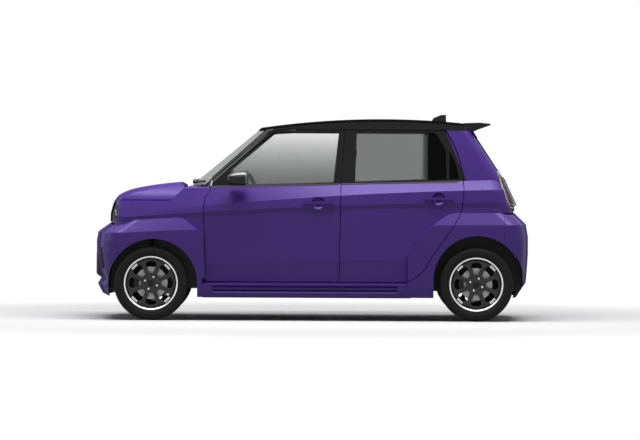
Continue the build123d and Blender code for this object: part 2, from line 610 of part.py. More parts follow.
tailgate_zone = block((ax, 1800), (-TAILGATE_HALF, TAILGATE_HALF), (TAILGATE_BOTTOM, 1700))
tailgate_in = body(58.0, 34.0, 34.0)
tailgate = (OUTER - tailgate_in) & tailgate_zone & side_poly([(ax, az - 6), (ax, 1300), (1400, 800), (1800, 800), (1800, az - 6)], -FAR, FAR)
TAIL_WINDOW = [(-470, 1120), (-440, 1425), (440, 1425), (470, 1120)]
tail_opening = long_poly(TAIL_WINDOW, 1200, 1700)
tailgate = tailgate - tail_opening
tailgate_glass = (cached("house", 6.0) - cached("house", 11.0)) & long_poly([(-469.7, 1120.3), (-439.7, 1424.7), (439.7, 1424.7), (469.7, 1120.3)], 1200, 1700)
spoiler_side = run([(ax, az + 9), (1300, 1543), (1382, 1535), (1386, 1524), (1283, 1487), (1250, 1470), (1200, 1500), (ax, az - 4)])
spoiler = side_prism(spoiler_side, 0.0, -TAILGATE_HALF + 1, TAILGATE_HALF - 1) + cyl((0, 1, 0), (ax, 0, az), TAILGATE_NOSE, 2 * TAILGATE_HALF - 2)
spoiler = spoiler - tailgate
for pocket in tailgate_pockets:
    spoiler = spoiler - pocket
    tailgate = tailgate - pocket

# ---------------------------------------------------------------- front panels
split = [BUMPER_SPLIT_FRONT[0], BUMPER_SPLIT_FRONT[1], (-1512, 800), (-1512, 1000)]
fender_side = side_poly([(-1500, 150)] + split + [(-990, 1100), (-700, 1100), (-700, 150)])
front_mouth = arch_tool(FRONT_ARCH, ARCH_RADIUS, -FAR, -WELL_IN, -889.0)
front_well = arch_tool(FRONT_ARCH, FRONT_WELL, -FLARE_HALF + 22, -WELL_IN, -FRONT_WALL - LINER)
flare_end = extrude(Plane.XY * Polygon((-893, -850), (-893, -FLARE_HALF + 1), (-850, -BODY_HALF), (-600, -BODY_HALF), (-600, -850), align=None), 780)
fender = (FRONT[0.0] - FRONT[PANEL]) & fender_side & block((-1700, -600), (-FAR, -BONNET_HALF - 6), (150, 1100))
fender = fender - side_prism(FRONT_DOOR, SHUT_GAP) - (side_prism(FRONT_DOOR, STEP_GAP) & left("tub", 4.0))
fender = fender - block((-852, -600), (-FAR, 0), (0, 330)) - front_mouth - front_well - flare_end
fender = fender & block((-1700, -600), (-FAR, 0), (182, 1034)) - cached("house", -3.0)

rear_edge = Pos(-1031 + 4500, 0, 900) * Cylinder(4500, 600)
bonnet = (FRONT[0.0] - FRONT[25.0]) & block((-1700, -900), (-BONNET_HALF, BONNET_HALF), (906, 1200))
bonnet = bonnet - rear_edge

head_cut = cyl((1, 0, 0), (-1560, -598, 826), 82.0, 200)
front_zone = block((-1700, -1512.8), (-900, 900), (756, 900))
nose_zone = block((-1700, -1512.8), (-600, 600), (756, 900))
fender_gap = side_poly([(-1512, 1000), (-1512, 800), (-1536, 756), (-1600, 700), (-1400, 700), (-1400, 1000)], -FAR, FAR)
nose = (FRONT[0.0] - FRONT[PANEL]) & nose_zone
nose = nose - head_cut - mirrored(head_cut)
head = (FRONT[0.0] - FRONT[LAMP_DEPTH]) & cyl((1, 0, 0), (-1560, -598, 826), 81.5, 200) & front_zone - fender_gap

bumper_split = side_poly([(-1500.8, 100), (-1500.8, 498), (-1536.8, 755), (-1536.8, 900), (-1800, 900), (-1800, 100)], -FAR, FAR)
front_bumper = (box(NOSE_ROWS, True) - box(NOSE_ROWS, True, PANEL)) & bumper_split & block((-1800, -1300), (-900, 900), (100, 754))
front_bumper = front_bumper - (cached("tub", 1.0) & block((-1800, -1300), (-900, 900), (700, 900)))
for tool in both(front_mouth) + both(front_well):
    front_bumper = front_bumper - tool
grille = block((-1800, -1500), (-420, 420), (330, 470))
BAR_LAYER = box(NOSE_ROWS, True, 5.0) - box(NOSE_ROWS, True, 34.0)
bars = [block((-1700, -1560), (-430, 430), (z - 6, z + 6)) for z in (365, 400, 435)]
front_bumper = front_bumper - grille
for bar in bars:
    front_bumper = front_bumper + (bar & BAR_LAYER)
for s in (-1, 1):
    front_bumper = front_bumper - block((-1800, -1500), (min(s * 640, s * 668), max(s * 640, s * 668)), (405, 560))

rear_bumper = (TAIL_BOX - TAIL_BOX_IN) & block((BUMPER_SPLIT_REAR, 1800), (-900, 900), (150, BUMPER_TOP))
rear_bumper = rear_bumper - (cached("tub", -1.0) & block((1400, 1800), (-900, 900), (744, 900)))
for tool in both(rear_mouth) + both(rear_well):
    rear_bumper = rear_bumper - tool

# ---------------------------------------------------------------- front structure
FLOOR_FRONT = -870.0
front_liner = arch_tool(FRONT_ARCH, FRONT_WELL + LINER, -FLARE_HALF + 24, -WELL_IN + LINER, -FRONT_WALL)
front_liner = front_liner & block((-1700, -800), (-FAR, 0), (240, 760))
tower = cyl(KINGPIN_LEAN, (X_FA, KINGPIN_TOP_Y, KINGPIN_TOP_Z), 44.0, 40.0)
bay = block((-884.0, FLOOR_FRONT - FIT), (-700, 700), (262, 990)) + block((-1014, -884), (-560, 560), (950, 965))
bay = bay + block((-1560, -1545), (-430, 430), (240, 810))
bay = bay + block((-1600, -1545), (-560, 560), (780, 810)) + block((-1690, -1650), (-560, 560), (500, 560))
for s in (-1, 1):
    bay = bay + block((-1655, -1545), (min(s * 330, s * 390), max(s * 330, s * 390)), (510, 550))
    bay = bay + block((-1583, -884), (min(s * 600, s * 640), max(s * 600, s * 640)), (700, 730))
for shape in both(front_liner):
    bay = bay + shape
bay = bay & FRONT[PANEL + FIT]
cowl = cached("house", 11.3) & block((-1100, -884), (-590, 590), (950, 1052)) & cached("house", 11.3)
bay = bay + cowl
for shape in both(front_well) + both(front_mouth):
    bay = bay - shape
for shape in both(tower):
    bay = bay + shape
for y in BONNET_HINGE_Y:
    for way in (-1, 1):
        x, z = BONNET_AXIS
        bay = bay + cyl((0, 1, 0), (x, way * y, z), 10, 12) + block((x - 10, x + 10), (way * y - 6, way * y + 6), (955, z))
        bay = bay + cyl((0, 1, 0), (x, way * (y - 12), z), HINGE_PIN, 26)
        ear = cyl((0, 1, 0), (x, way * (y - 14), z), 9, 14) + block((x - 9, x + 6), (way * (y - 14) - 7, way * (y - 14) + 7), (z, z + 42))
        ear = ear - (ear & block((-1200, -900), (-900, 900), (1001, 1100)) - FRONT[PANEL])
        bonnet = bonnet + ear - cyl((0, 1, 0), (x, way * (y - 12), z), HINGE_PIN + PIN_FIT, 28)

# ---------------------------------------------------------------- floor
floor_room = body(STRUCTURE + FIT, 60.0 + FIT, 60.0)
floor = block((FLOOR_FRONT, 820), (-700, 700), (FLOOR_TOP - FLOOR_THICK, FLOOR_TOP))
floor = floor + block((800, 820), (-700, 700), (270, 430)) + block((800, 1540), (-545, 545), (400, 430))
floor = floor + block((1500, 1520), (-545, 545), (400, 835))
for way in (-1, 1):
    floor = floor + block((1440, 1500), (way * 430 - 25, way * 430 + 25), (600, 660))
    floor = floor + block((1500, 1660), (way * 430 - 25, way * 430 + 25), (560, 620))
    floor = floor - arch_tool(REAR_ARCH, WELL_RADIUS + LINER + FIT, *sorted((way * 900, way * (REAR_WELL_IN - LINER - FIT))))
floor = floor & (floor_room + block((1480, 1676), (-500, 500), (300, 830)))
floor = floor & (TAIL_BOX_FIT + block((-900, 1480), (-900, 900), (0, 900)))

# ---------------------------------------------------------------- cabin
def lengthwise(points, y_from, y_to):
    return side_poly(points, y_from, y_to)


DASH = [(-870, 690), (-870, 1000), (-800, 1012), (-660, 985), (-585, 940), (-552, 880), (-590, 800), (-660, 720)]
dash = side_poly(DASH, -640, 640) & cached("tub", STRUCTURE + FIT)
WHEEL_CENTRE = (-425.0, 340.0, 962.0)
COLUMN = (-math.cos(math.radians(25)), 0.0, -math.sin(math.radians(25)))


def along_column(distance):
    return tuple(c + d * distance for c, d in zip(WHEEL_CENTRE, COLUMN))


column = cyl(COLUMN, along_column(125), 34, 150) - cyl(COLUMN, along_column(90), 10.1, 90)
dash = dash + column
steering = Plane(WHEEL_CENTRE, z_dir=COLUMN) * Torus(175, 15) + cyl(COLUMN, along_column(20), 42, 44)
steering = steering + cyl(COLUMN, along_column(80), 10, 100)
for angle in (90, 210, 330):
    spoke = Plane(WHEEL_CENTRE, x_dir=(0, 1, 0), z_dir=COLUMN) * Rot(0, 0, angle) * Pos(98, 0, 8) * Box(150, 34, 14)
    steering = steering + spoke
CUSHION = [(-340, 310.3), (-340, 470), (-320, 530), (-120, 555), (110, 530), (150, 440), (120, 310.3)]
BACK = [(60, 470), (150, 440), (250, 700), (318, 1160), (300, 1195), (250, 1180), (190, 900), (100, 560)]
HEAD = [(262, 1150), (300, 1165), (345, 1330), (310, 1352), (262, 1335), (252, 1250)]
seats = []
for y in (-340, 340):
    seat = side_poly(CUSHION, y - 235, y + 235) + side_poly(BACK, y - 235, y + 235)
    seats.append(seat + side_poly(HEAD, y - 130, y + 130))
REAR_CUSHION = [(560, 310.3), (560, 470), (590, 540), (820, 555), (960, 520), (960, 430.3), (799.7, 430.3), (799.7, 310.3)]
REAR_BACK = [(900, 500), (1000, 430.3), (1090, 430.3), (1150, 900), (1165, 1060), (1110, 1075), (1030, 800), (930, 540)]
rear_seat = side_poly(REAR_CUSHION, -540, 540) + side_poly(REAR_BACK, -540, 540)
for y in (-300, 300):
    rear_seat = rear_seat + side_poly([(1100, 1040), (1160, 1050), (1168, 1190), (1130, 1215), (1085, 1200)], y - 120, y + 120)

# ---------------------------------------------------------------- gear under the body
battery = block((-600, 750), (-480, 480), (190, FLOOR_TOP - FLOOR_THICK - FIT))
drive = block((-1400, -1010), (-320, 320), (225.3, 560)) + block((-1370, -1060), (-230, 300), (560, 720))
subframe = block((-1345, -1150), (-400, 400), (175, 225))
for way in (-1, 1):
    subframe = subframe + block((-1345, -1150), *[sorted((way * (WELL_IN - LINER - FIT), way * 385)), (175, 320)])
    subframe = subframe + side_poly([(-1290, 170), (-1290, 186), (-1205, 186), (-1205, 170)], *sorted((way * 385, way * 628)))
    subframe = subframe + cyl((0, -way * KINGPIN_LEAN[1], KINGPIN_LEAN[2]), KINGPIN_AT(-20, way), 16, 24)
beam = block((1050, 1130), (-500, 500), (215, 265))
for way in (-1, 1):
    beam = beam + side_poly([(930, 300), (930, 399.7), (990, 399.7), (1120, 300), (1300, 320), (1330, 287), (1290, 240), (1050, 215)], *sorted((way * 500, way * 548)))
    beam = beam + cyl((0, 1, 0), (X_RA, way * 585, TYRE_RADIUS), 34, 90) + cyl((0, 1, 0), (X_RA, way * 660, TYRE_RADIUS), SPINDLE, 80)


def knuckle():
    """Left hub carrier with its lug, strut and stub axle."""
    out = cyl(KINGPIN_LEAN, KINGPIN_AT(6, -1), 16, 27.4) + cyl((0, 1, 0), (X_FA, -624, TYRE_RADIUS), 42, 46)
    out = out + cyl((0, 1, 0), (X_FA, -670, TYRE_RADIUS), SPINDLE, 60)
    out = out + block((X_FA - 22, X_FA + 22), (-645, -603), (205, 345))
    out = out + cyl(KINGPIN_LEAN, KINGPIN_AT(222, -1), 22, 160) + cyl(KINGPIN_LEAN, KINGPIN_AT((300 + STRUT_END) / 2, -1), 11, STRUT_END - 300)
    return out


def ring_solid(points):
    """Ring turned about the left front wheel's axle from (radius, distance outwards) points."""
    pts = [(X_FA + r, -WHEEL_Y - out, TYRE_RADIUS) for r, out in points]
    return revolve(Face(Wire.make_polygon(pts, close=True)), Axis((X_FA, 0, TYRE_RADIUS), (0, 1, 0)), 360)


def rim():
    barrel = ring_solid([(208, 75), (208, 69), (196, 66), (190, 60), (190, -60), (196, -66), (208, -69), (208, -75), (202, -75),
                         (184, -60), (176, -54), (176, 42), (192, 64), (196, 75)])
    face = ring_solid([(0, 56), (30, 56), (36, 46), (78, 50), (168, 60), (182, 56), (182, 40), (78, 30), (60, 20), (60, -10), (SPINDLE + PIN_FIT, -10),
                       (SPINDLE + PIN_FIT, 24), (0, 24)])
    disc = ring_solid([(SPINDLE + PIN_FIT, -10), (60, -10), (60, 8), (70, 8), (70, -13), (125, -13), (125, -33), (SPINDLE + PIN_FIT, -33)])
    window = extrude(Plane((X_FA, -WHEEL_Y, TYRE_RADIUS), x_dir=(1, 0, 0), z_dir=(0, -1, 0)) * Pos(0, 20, 0)
                     * Rot(0, 0, 0) * Polygon((80, -17), (150, -44), (166, -30), (170, 0), (166, 30), (150, 44), (80, 17), align=None), 0.001)
    plane = Plane((X_FA, -WHEEL_Y, TYRE_RADIUS), x_dir=(1, 0, 0), z_dir=(0, -1, 0))
    for k in range(8):
        shape = Rot(0, 0, 45 * k) * Polygon((80, -15), (150, -42), (165, -28), (169, 0), (165, 28), (150, 42), (80, 15), align=None)
        face = face - extrude(plane * Pos(0, 0, 25) * shape, 60)
    return barrel + face + disc


def tyre():
    half = [(190.3, 59.4), (196.2, 65.3), (208.4, 68.5), (214, 77), (238, 87.5), (266, 84), (281, 75), (TYRE_RADIUS, 58)]
    return ring_solid(half + [(r, -o) for r, o in reversed(half)])


def mirror_body():
    shell = Pos(-585, -812, 1100) * Box(140, 178, 112)
    shell = fillet(shell.edges(), 30)
    arm = block((-640, -590), (-740, -640), (1040, 1072)) - body(-FIT, -FIT, 0.0, left)
    return shell + arm


blade_layer = (cached("house", -8.0) - cached("house", 6.0 - FIT)) & block((-1100, -600), (-700, 700), (1000, 1300))
wipers = [blade_layer & long_poly([(y0, 1053), (y1, 1066), (y1, 1074), (y0, 1061)], -1100, -600) for y0, y1 in ((-20, -520), (500, 40))]

left_rim, left_tyre = rim(), tyre()
shift = Pos(WHEELBASE, 0, 0)
EVERY = {
    "floor_pan": [floor], "side_frame_left": [left_side], "side_frame_right": [mirrored(left_side)], "roof_panel": [roof],
    "motor_bay": [bay], "fender_left": [fender], "fender_right": [mirrored(fender)], "front_bumper": [front_bumper],
    "rear_bumper": [rear_bumper], "nose_panel": [nose], "headlamps": both(head), "tail_lamps": both(rear_lamp),
    "windscreen": [windscreen], "wipers": wipers, "dashboard": [dash], "front_seats": seats, "rear_seat": [rear_seat],
    "front_subframe": [subframe], "rear_axle": [beam], "drive_unit": [drive], "battery_pack": [battery],
    "bonnet": [bonnet], "tailgate": [tailgate], "tailgate_glass": [tailgate_glass], "spoiler": [spoiler],
    "steering_wheel": [steering], "knuckle_left": [knuckle()], "knuckle_right": [mirrored(knuckle())],
    "rim_front_left": [left_rim], "rim_front_right": [mirrored(left_rim)], "rim_rear_left": [shift * left_rim],
    "rim_rear_right": [shift * mirrored(left_rim)], "tyre_front_left": [left_tyre], "tyre_front_right": [mirrored(left_tyre)],
    "tyre_rear_left": [shift * left_tyre], "tyre_rear_right": [shift * mirrored(left_tyre)],
    "front_door_left": [front_door], "front_door_right": [mirrored(front_door)], "rear_door_left": [rear_door],
    "rear_door_right": [mirrored(rear_door)], "mirror_left": [mirror_body()], "mirror_right": [mirrored(mirror_body())],
}
for side, where in (("left", lambda q: q), ("right", mirrored)):
    EVERY["front_door_glass_" + side] = [where(q) for q in door_glass([FRONT_WINDOW])]
    EVERY["rear_door_glass_" + side] = [where(q) for q in door_glass([REAR_WINDOW, QUARTER_WINDOW])]
for name, shapes in EVERY.items():
    keep(name, *shapes)
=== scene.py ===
"""Kei car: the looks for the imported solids. Everything is in metres, in the frame of the CAD model."""
import math

import bmesh
import bpy
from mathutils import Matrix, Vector
from mathutils.bvhtree import BVHTree


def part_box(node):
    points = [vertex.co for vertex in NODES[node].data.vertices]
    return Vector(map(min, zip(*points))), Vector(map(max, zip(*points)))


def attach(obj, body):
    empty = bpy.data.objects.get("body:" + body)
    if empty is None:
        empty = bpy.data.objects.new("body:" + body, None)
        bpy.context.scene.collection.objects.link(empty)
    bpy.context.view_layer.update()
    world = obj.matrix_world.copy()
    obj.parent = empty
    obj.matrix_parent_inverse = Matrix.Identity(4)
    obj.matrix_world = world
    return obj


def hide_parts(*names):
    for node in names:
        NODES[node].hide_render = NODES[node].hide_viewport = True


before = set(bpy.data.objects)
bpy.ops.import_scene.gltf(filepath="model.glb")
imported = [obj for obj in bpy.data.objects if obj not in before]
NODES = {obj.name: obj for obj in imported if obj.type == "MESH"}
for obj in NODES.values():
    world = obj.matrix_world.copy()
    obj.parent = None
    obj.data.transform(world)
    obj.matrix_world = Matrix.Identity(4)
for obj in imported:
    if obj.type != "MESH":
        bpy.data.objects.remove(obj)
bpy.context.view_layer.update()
SIDES = (("left", -1), ("right", 1))
TAU = 2 * math.pi

# ---------------------------------------------------------------- sizes shared with the solids
# WELLS gives the middle (x, z) and the radius of each wheel well.
FRONT_AXLE, REAR_AXLE, WHEEL_Y, HUB_Z = -1.2475, 1.2725, 0.685, 0.287
HEAD_Y, HEAD_Z = 0.598, 0.826
WELLS = ((-1.231, 0.288, 0.349), (1.282, 0.321, 0.3545))


def belt(x):
    """Height of the line under the side windows."""
    return 1.054 + (0.0259 if x < 0 else 0.0236) * x


# ---------------------------------------------------------------- materials
def srgb(r, g, b):
    """An 8-bit screen colour as the linear value that a shader takes."""
    return tuple(((c / 255 + 0.055) / 1.055) ** 2.4 if c > 10 else c / 255 / 12.92 for c in (r, g, b)) + (1.0,)


class Shader:
    """A node material with small helpers for masks and grain."""

    def __init__(self, name, colour, **sockets):
        self.mat = bpy.data.materials.new(name)
        self.mat.use_nodes = True
        self.tree = self.mat.node_tree
        self.base = self.tree.nodes["Principled BSDF"]
        self.out = self.tree.nodes["Material Output"]
        self.fill(self.base, colour, **sockets)
        self._xyz = None

    @staticmethod
    def fill(shader, colour, **sockets):
        shader.inputs["Base Color"].default_value = colour
        for key, value in sockets.items():
            shader.inputs[key.replace("_", " ")].default_value = value

    def node(self, kind, **settings):
        n = self.tree.nodes.new(kind)
        for key, value in settings.items():
            setattr(n, key, value)
        return n

    def link(self, a, b):
        self.tree.links.new(a, b)

    def coords(self):
        return self.node("ShaderNodeTexCoord").outputs["Object"]

    def xyz(self):
        if not self._xyz:
            sep = self.node("ShaderNodeSeparateXYZ")
            self.link(self.coords(), sep.inputs[0])
            self._xyz = sep.outputs
        return self._xyz

    def math(self, op, a, b=0.0):
        n = self.node("ShaderNodeMath", operation=op)
        for socket, value in zip(n.inputs, (a, b)):
            if isinstance(value, (int, float)):
                socket.default_value = value
            else:
                self.link(value, socket)
        return n.outputs[0]

    def noise(self, scale, detail=2.0, stretch=(1, 1, 1)):
        m = self.node("ShaderNodeMapping")
        m.inputs["Scale"].default_value = stretch
        self.link(self.coords(), m.inputs[0])
        n = self.node("ShaderNodeTexNoise")
        n.inputs["Scale"].default_value = scale
        n.inputs["Detail"].default_value = detail
        self.link(m.outputs[0], n.inputs["Vector"])
        return n.outputs["Fac"]

    def bump(self, height, strength, distance, shaders=None):
        b = self.node("ShaderNodeBump")
        b.inputs["Strength"].default_value = strength
        b.inputs["Distance"].default_value = distance
        self.link(height, b.inputs["Height"])
        for shader in shaders or [self.base]:
            self.link(b.outputs[0], shader.inputs["Normal"])
        return self

    def vary(self, factor, low, high, socket="Base Color", shader=None):
        """Runs a socket between two values along a 0 to 1 factor."""
        ramp = self.node("ShaderNodeValToRGB")
        for stop, value in zip(ramp.color_ramp.elements, (low, high)):
            stop.color = value if isinstance(value, tuple) else (value, value, value, 1)
        ramp.color_ramp.elements[0].position = 0.3
        ramp.color_ramp.elements[1].position = 0.7
        self.link(factor, ramp.inputs[0])
        self.link(ramp.outputs[0], (shader or self.base).inputs[socket])
        return self

    def calm(self, gloss, shader=None):
        """Less gloss where a face is seen edge on, so that the skyline stays dark."""
        facing = self.node("ShaderNodeLayerWeight").outputs["Facing"]
        fall = self.node("ShaderNodeMapRange")
        fall.inputs["From Min"].default_value, fall.inputs["From Max"].default_value = 0.45, 0.78
        fall.inputs["To Min"].default_value, fall.inputs["To Max"].default_value = gloss, 0.0
        self.link(facing, fall.inputs["Value"])
        self.link(fall.outputs["Result"], (shader or self.base).inputs["Specular IOR Level"])
        return self

    def ramp(self, value, low, high, at_low=0.0, at_high=1.0):
        """Runs a value between two stops, and holds it outside them."""
        n = self.node("ShaderNodeMapRange", interpolation_type="SMOOTHSTEP")
        for key, number in (("From Min", low), ("From Max", high), ("To Min", at_low), ("To Max", at_high)):
            n.inputs[key].default_value = number
        self.link(value, n.inputs["Value"])
        return n.outputs["Result"]

    def over(self, mask, colour, **sockets):
        """A second finish where the mask is 1."""
        top = self.node("ShaderNodeBsdfPrincipled")
        self.fill(top, colour, **sockets)
        self.calm(sockets.get("Specular_IOR_Level", 0.5), top)
        mix = self.node("ShaderNodeMixShader")
        self.link(mask, mix.inputs[0])
        source = self.out.inputs[0].links[0].from_socket
        self.link(source, mix.inputs[1])
        self.link(top.outputs[0], mix.inputs[2])
        self.link(mix.outputs[0], self.out.inputs[0])
        return self


PURPLE = srgb(80, 47, 146)
PURPLE_DEEP = srgb(70, 40, 132)
BLACK = srgb(14, 14, 16)
WELL_BLACK = srgb(16, 16, 17)
PAINT = dict(Metallic=0.1, Roughness=0.3, Specular_IOR_Level=0.3)
GLOSS = dict(Roughness=0.12, Specular_IOR_Level=0.22)
SATIN = dict(Roughness=0.5, Specular_IOR_Level=0.25)


def painted(name):
    """Body paint with a fine flake."""
    m = Shader(name, PURPLE, **PAINT)
    m.vary(m.noise(2600, 1.0), PURPLE_DEEP, PURPLE)
    m.calm(PAINT["Specular_IOR_Level"])
    return m


def both_over(m, a, b):
    """1 where both masks are 1."""
    return m.math("MULTIPLY", a, b)


def either(m, a, b):
    """1 where one of the masks is 1."""
    return m.math("MAXIMUM", a, b)


def side_mask(m):
    """1 above the belt line, but not on the rear pillar below the roof."""
    x, y, z = m.xyz()
    line = m.math("ADD", m.math("MULTIPLY", x, 0.0248), 1.058)
    above = m.math("GREATER_THAN", z, line)
    edge = m.math("MULTIPLY", m.math("SUBTRACT", 1.475, z), 0.427)
    ahead = m.math("LESS_THAN", m.math("SUBTRACT", x, edge), 1.032)
    roof = m.math("GREATER_THAN", z, 1.478)
    return both_over(m, above, either(m, ahead, roof))


def inner_mask(m, depth, top=0.93):
    """1 on what lies nearer the middle than that, below a height."""
    x, y, z = m.xyz()
    return both_over(m, m.math("LESS_THAN", m.math("ABSOLUTE", y), depth), m.math("LESS_THAN", z, top))


def well_mask(m):
    """1 inside the wheel wells, behind the arches' edges."""
    x, y, z = m.xyz()
    inside = m.math("LESS_THAN", m.math("ABSOLUTE", y), 0.757)
    found = None
    for cx, cz, radius in WELLS:
        dx, dz = m.math("SUBTRACT", x, cx), m.math("SUBTRACT", z, cz)
        square = m.math("ADD", m.math("MULTIPLY", dx, dx), m.math("MULTIPLY", dz, dz))
        near = m.math("LESS_THAN", square, radius**2)
        found = near if found is None else either(m, found, near)
    return both_over(m, inside, found)


body_paint = painted("paint")
body_paint.over(well_mask(body_paint), WELL_BLACK, **SATIN)
paint = body_paint.mat
side = painted("paint_sides")
side.over(side_mask(side), BLACK, **GLOSS)
side.over(inner_mask(side, 0.69), srgb(46, 46, 50), **SATIN)
side_paint = side.mat
frame_side = painted("paint_frame")
frame_side.over(side_mask(frame_side), BLACK, **GLOSS)
frame_side.over(well_mask(frame_side), WELL_BLACK, **SATIN)
frame_paint = frame_side.mat

tail = painted("paint_tailgate")
_, y_, z_ = tail.xyz()
pane = both_over(tail, tail.math("GREATER_THAN", z_, 1.085), tail.math("LESS_THAN", tail.math("ABSOLUTE", y_), 0.512))
tail.over(pane, BLACK, **GLOSS)
tail_paint = tail.mat

chin = painted("paint_front_bumper")
_, y_, z_ = chin.xyz()
mouth = both_over(chin, both_over(chin, chin.math("GREATER_THAN", z_, 0.322), chin.math("LESS_THAN", z_, 0.478)),
                  chin.math("LESS_THAN", chin.math("ABSOLUTE", y_), 0.4255))
chin.over(mouth, BLACK, **SATIN)
chin.over(well_mask(chin), WELL_BLACK, **SATIN)
chin_paint = chin.mat

rump = painted("paint_rear_bumper")
_, y_, z_ = rump.xyz()
diffuser = both_over(rump, rump.math("LESS_THAN", z_, 0.36), rump.math("LESS_THAN", rump.math("ABSOLUTE", y_), 0.47))
rump.over(diffuser, BLACK, **SATIN)
rump.over(well_mask(rump), WELL_BLACK, **SATIN)
rump_paint = rump.mat

gloss_black = Shader("gloss_black", BLACK, **GLOSS)
gloss_black.bump(gloss_black.noise(700), 0.02, 0.0005)
gloss_black.calm(GLOSS["Specular_IOR_Level"])
satin = Shader("moulded_plastic", srgb(30, 30, 32), Roughness=0.55)
satin.bump(satin.noise(1400, 3.0), 0.35, 0.0004)
dash_skin = Shader("dash_skin", srgb(40, 40, 44), Roughness=0.62)
dash_skin.bump(dash_skin.noise(420, 4.0), 0.5, 0.0008)
structure = Shader("body_structure", srgb(28, 28, 31), Metallic=0.2, Roughness=0.45)
structure.vary(structure.noise(35, 4.0), srgb(22, 22, 25), srgb(34, 34, 37))
cast = Shader("cast_metal", srgb(150, 152, 155), Metallic=0.9, Roughness=0.5)
cast.bump(cast.noise(220, 4.0), 0.4, 0.001)
forged = Shader("coated_steel", srgb(38, 38, 40), Metallic=0.6, Roughness=0.5)
forged.bump(forged.noise(160, 3.0), 0.3, 0.001)
lacquer = Shader("wheel_lacquer", srgb(10, 10, 11), Roughness=0.25, Specular_IOR_Level=0.35, Coat_Weight=0.2,
                 Coat_Roughness=0.08)
lacquer.bump(lacquer.noise(900), 0.03, 0.0005)
machined = Shader("machined_face", srgb(225, 226, 228), Metallic=1.0, Roughness=0.25)
machined.vary(machined.noise(900, 2.0, (1, 0.2, 1)), 0.18, 0.36, "Roughness")
disc_metal = Shader("brake_disc", srgb(150, 152, 154), Metallic=0.9, Roughness=0.38)
disc_metal.vary(disc_metal.noise(90, 3.0), srgb(120, 122, 124), srgb(170, 172, 174))
rubber = Shader("tyre_rubber", srgb(30, 30, 31), Roughness=0.8, Specular_IOR_Level=0.25)
rubber.vary(rubber.noise(60, 4.0), srgb(25, 25, 26), srgb(34, 34, 35))
rubber.bump(rubber.noise(700, 3.0), 0.35, 0.0005)
seal = Shader("rubber_seal", srgb(20, 20, 21), Roughness=0.6)
seal.bump(seal.noise(500), 0.2, 0.0004)
shut_line = Shader("shut_line", srgb(8, 6, 14), Roughness=0.8)
shut_line.bump(shut_line.noise(500), 0.2, 0.0004)


def graded_glass(name, colour, socket, low, high, at_low, at_high):
    """Glass whose opacity runs along an axis from one place to another. On the side windows and the screen this grade
    and the glass colour are a painted reflection.
    """
    m = Shader(name, colour, Roughness=0.02, Specular_IOR_Level=0.4)
    fade = m.node("ShaderNodeMapRange")
    fade.inputs["From Min"].default_value, fade.inputs["From Max"].default_value = low, high
    fade.inputs["To Min"].default_value, fade.inputs["To Max"].default_value = at_low, at_high
    m.link(m.xyz()[socket], fade.inputs["Value"])
    m.link(fade.outputs["Result"], m.base.inputs["Alpha"])
    return m


mirror_shell = Shader("mirror_shell", BLACK, Roughness=0.18, Specular_IOR_Level=0.8, IOR=1.9)
mirror_shell.bump(mirror_shell.noise(700), 0.02, 0.0005)
# gloss rises towards the top of the cowl, so only its upper half shows a highlight: a painted highlight
upper_gloss = mirror_shell.ramp(mirror_shell.xyz()[2], 1.108, 1.142, 0.12, 1.0)
mirror_shell.link(upper_gloss, mirror_shell.base.inputs["Specular IOR Level"])
# side windows: more opaque towards the bottom, a painted reflection that darkens the glass downwards
glass = graded_glass("window_glass", srgb(96, 104, 101), 2, 1.08, 1.44, 0.42, 0.08)
rear_glass = graded_glass("rear_window_glass", srgb(62, 66, 65), 0, 0.875, 0.905, 0.38, 0.97)
# the quarter behind the rear door's window is blacked out
behind = rear_glass.math("MULTIPLY", rear_glass.math("SUBTRACT", rear_glass.xyz()[0], 0.87), 25.0)
rear_glass.vary(behind, srgb(84, 90, 88), srgb(9, 10, 10))
quarter_gloss = rear_glass.ramp(rear_glass.xyz()[0], 0.875, 0.905, 0.4, 0.03)
rear_glass.link(quarter_gloss, rear_glass.base.inputs["Specular IOR Level"])
# screen: a nearly opaque light grey, a painted reflection of bright surroundings seen edge on
screen_glass = graded_glass("screen_glass", srgb(166, 168, 168), 2, 1.06, 1.46, 0.92, 0.82)
screen_glass.calm(0.2)
gate_glass = Shader("tailgate_glass", srgb(22, 23, 25), Roughness=0.03, Alpha=0.94, Specular_IOR_Level=0.2)
gate_glass.calm(0.2)
clear = Shader("lamp_cover", srgb(70, 72, 76), Roughness=0.03, Alpha=0.3, Specular_IOR_Level=0.3)
clear.calm(0.3)
lamp_white = Shader("light_guide", srgb(214, 217, 221), Roughness=0.25)
lamp_white.vary(lamp_white.noise(300), srgb(206, 209, 213), srgb(222, 225, 229))
lamp_black = Shader("lamp_bowl", srgb(12, 12, 13), Roughness=0.3, Specular_IOR_Level=0.3)
mirror_metal = Shader("reflector", srgb(235, 236, 238), Metallic=1.0, Roughness=0.06)
lens_red = Shader("red_lens", srgb(120, 8, 12), Roughness=0.08, Coat_Weight=1.0, Coat_Roughness=0.02)
smoked = Shader("smoked_lens", srgb(46, 42, 50), Roughness=0.15, Specular_IOR_Level=0.25)
smoked.calm(0.25)
plate_white = Shader("blank_plate", srgb(236, 236, 232), Roughness=0.4)
fabric = Shader("seat_fabric", srgb(96, 97, 102), Roughness=0.9, Sheen_Weight=0.4, Sheen_Roughness=0.5)
weave = fabric.node("ShaderNodeTexWave", wave_type="BANDS", bands_direction="DIAGONAL")
weave.inputs["Scale"].default_value = 260
weave.inputs["Distortion"].default_value = 1.5
fabric.link(fabric.coords(), weave.inputs["Vector"])
fabric.vary(fabric.noise(240, 3.0), srgb(84, 85, 90), srgb(112, 113, 118))
fabric.bump(weave.outputs["Fac"], 0.4, 0.0008)
piping = Shader("seat_piping", srgb(58, 58, 62), Roughness=0.8)
piping.bump(piping.noise(900), 0.3, 0.0004)
display = Shader("dark_display", srgb(10, 12, 16), Roughness=0.05, Coat_Weight=1.0)

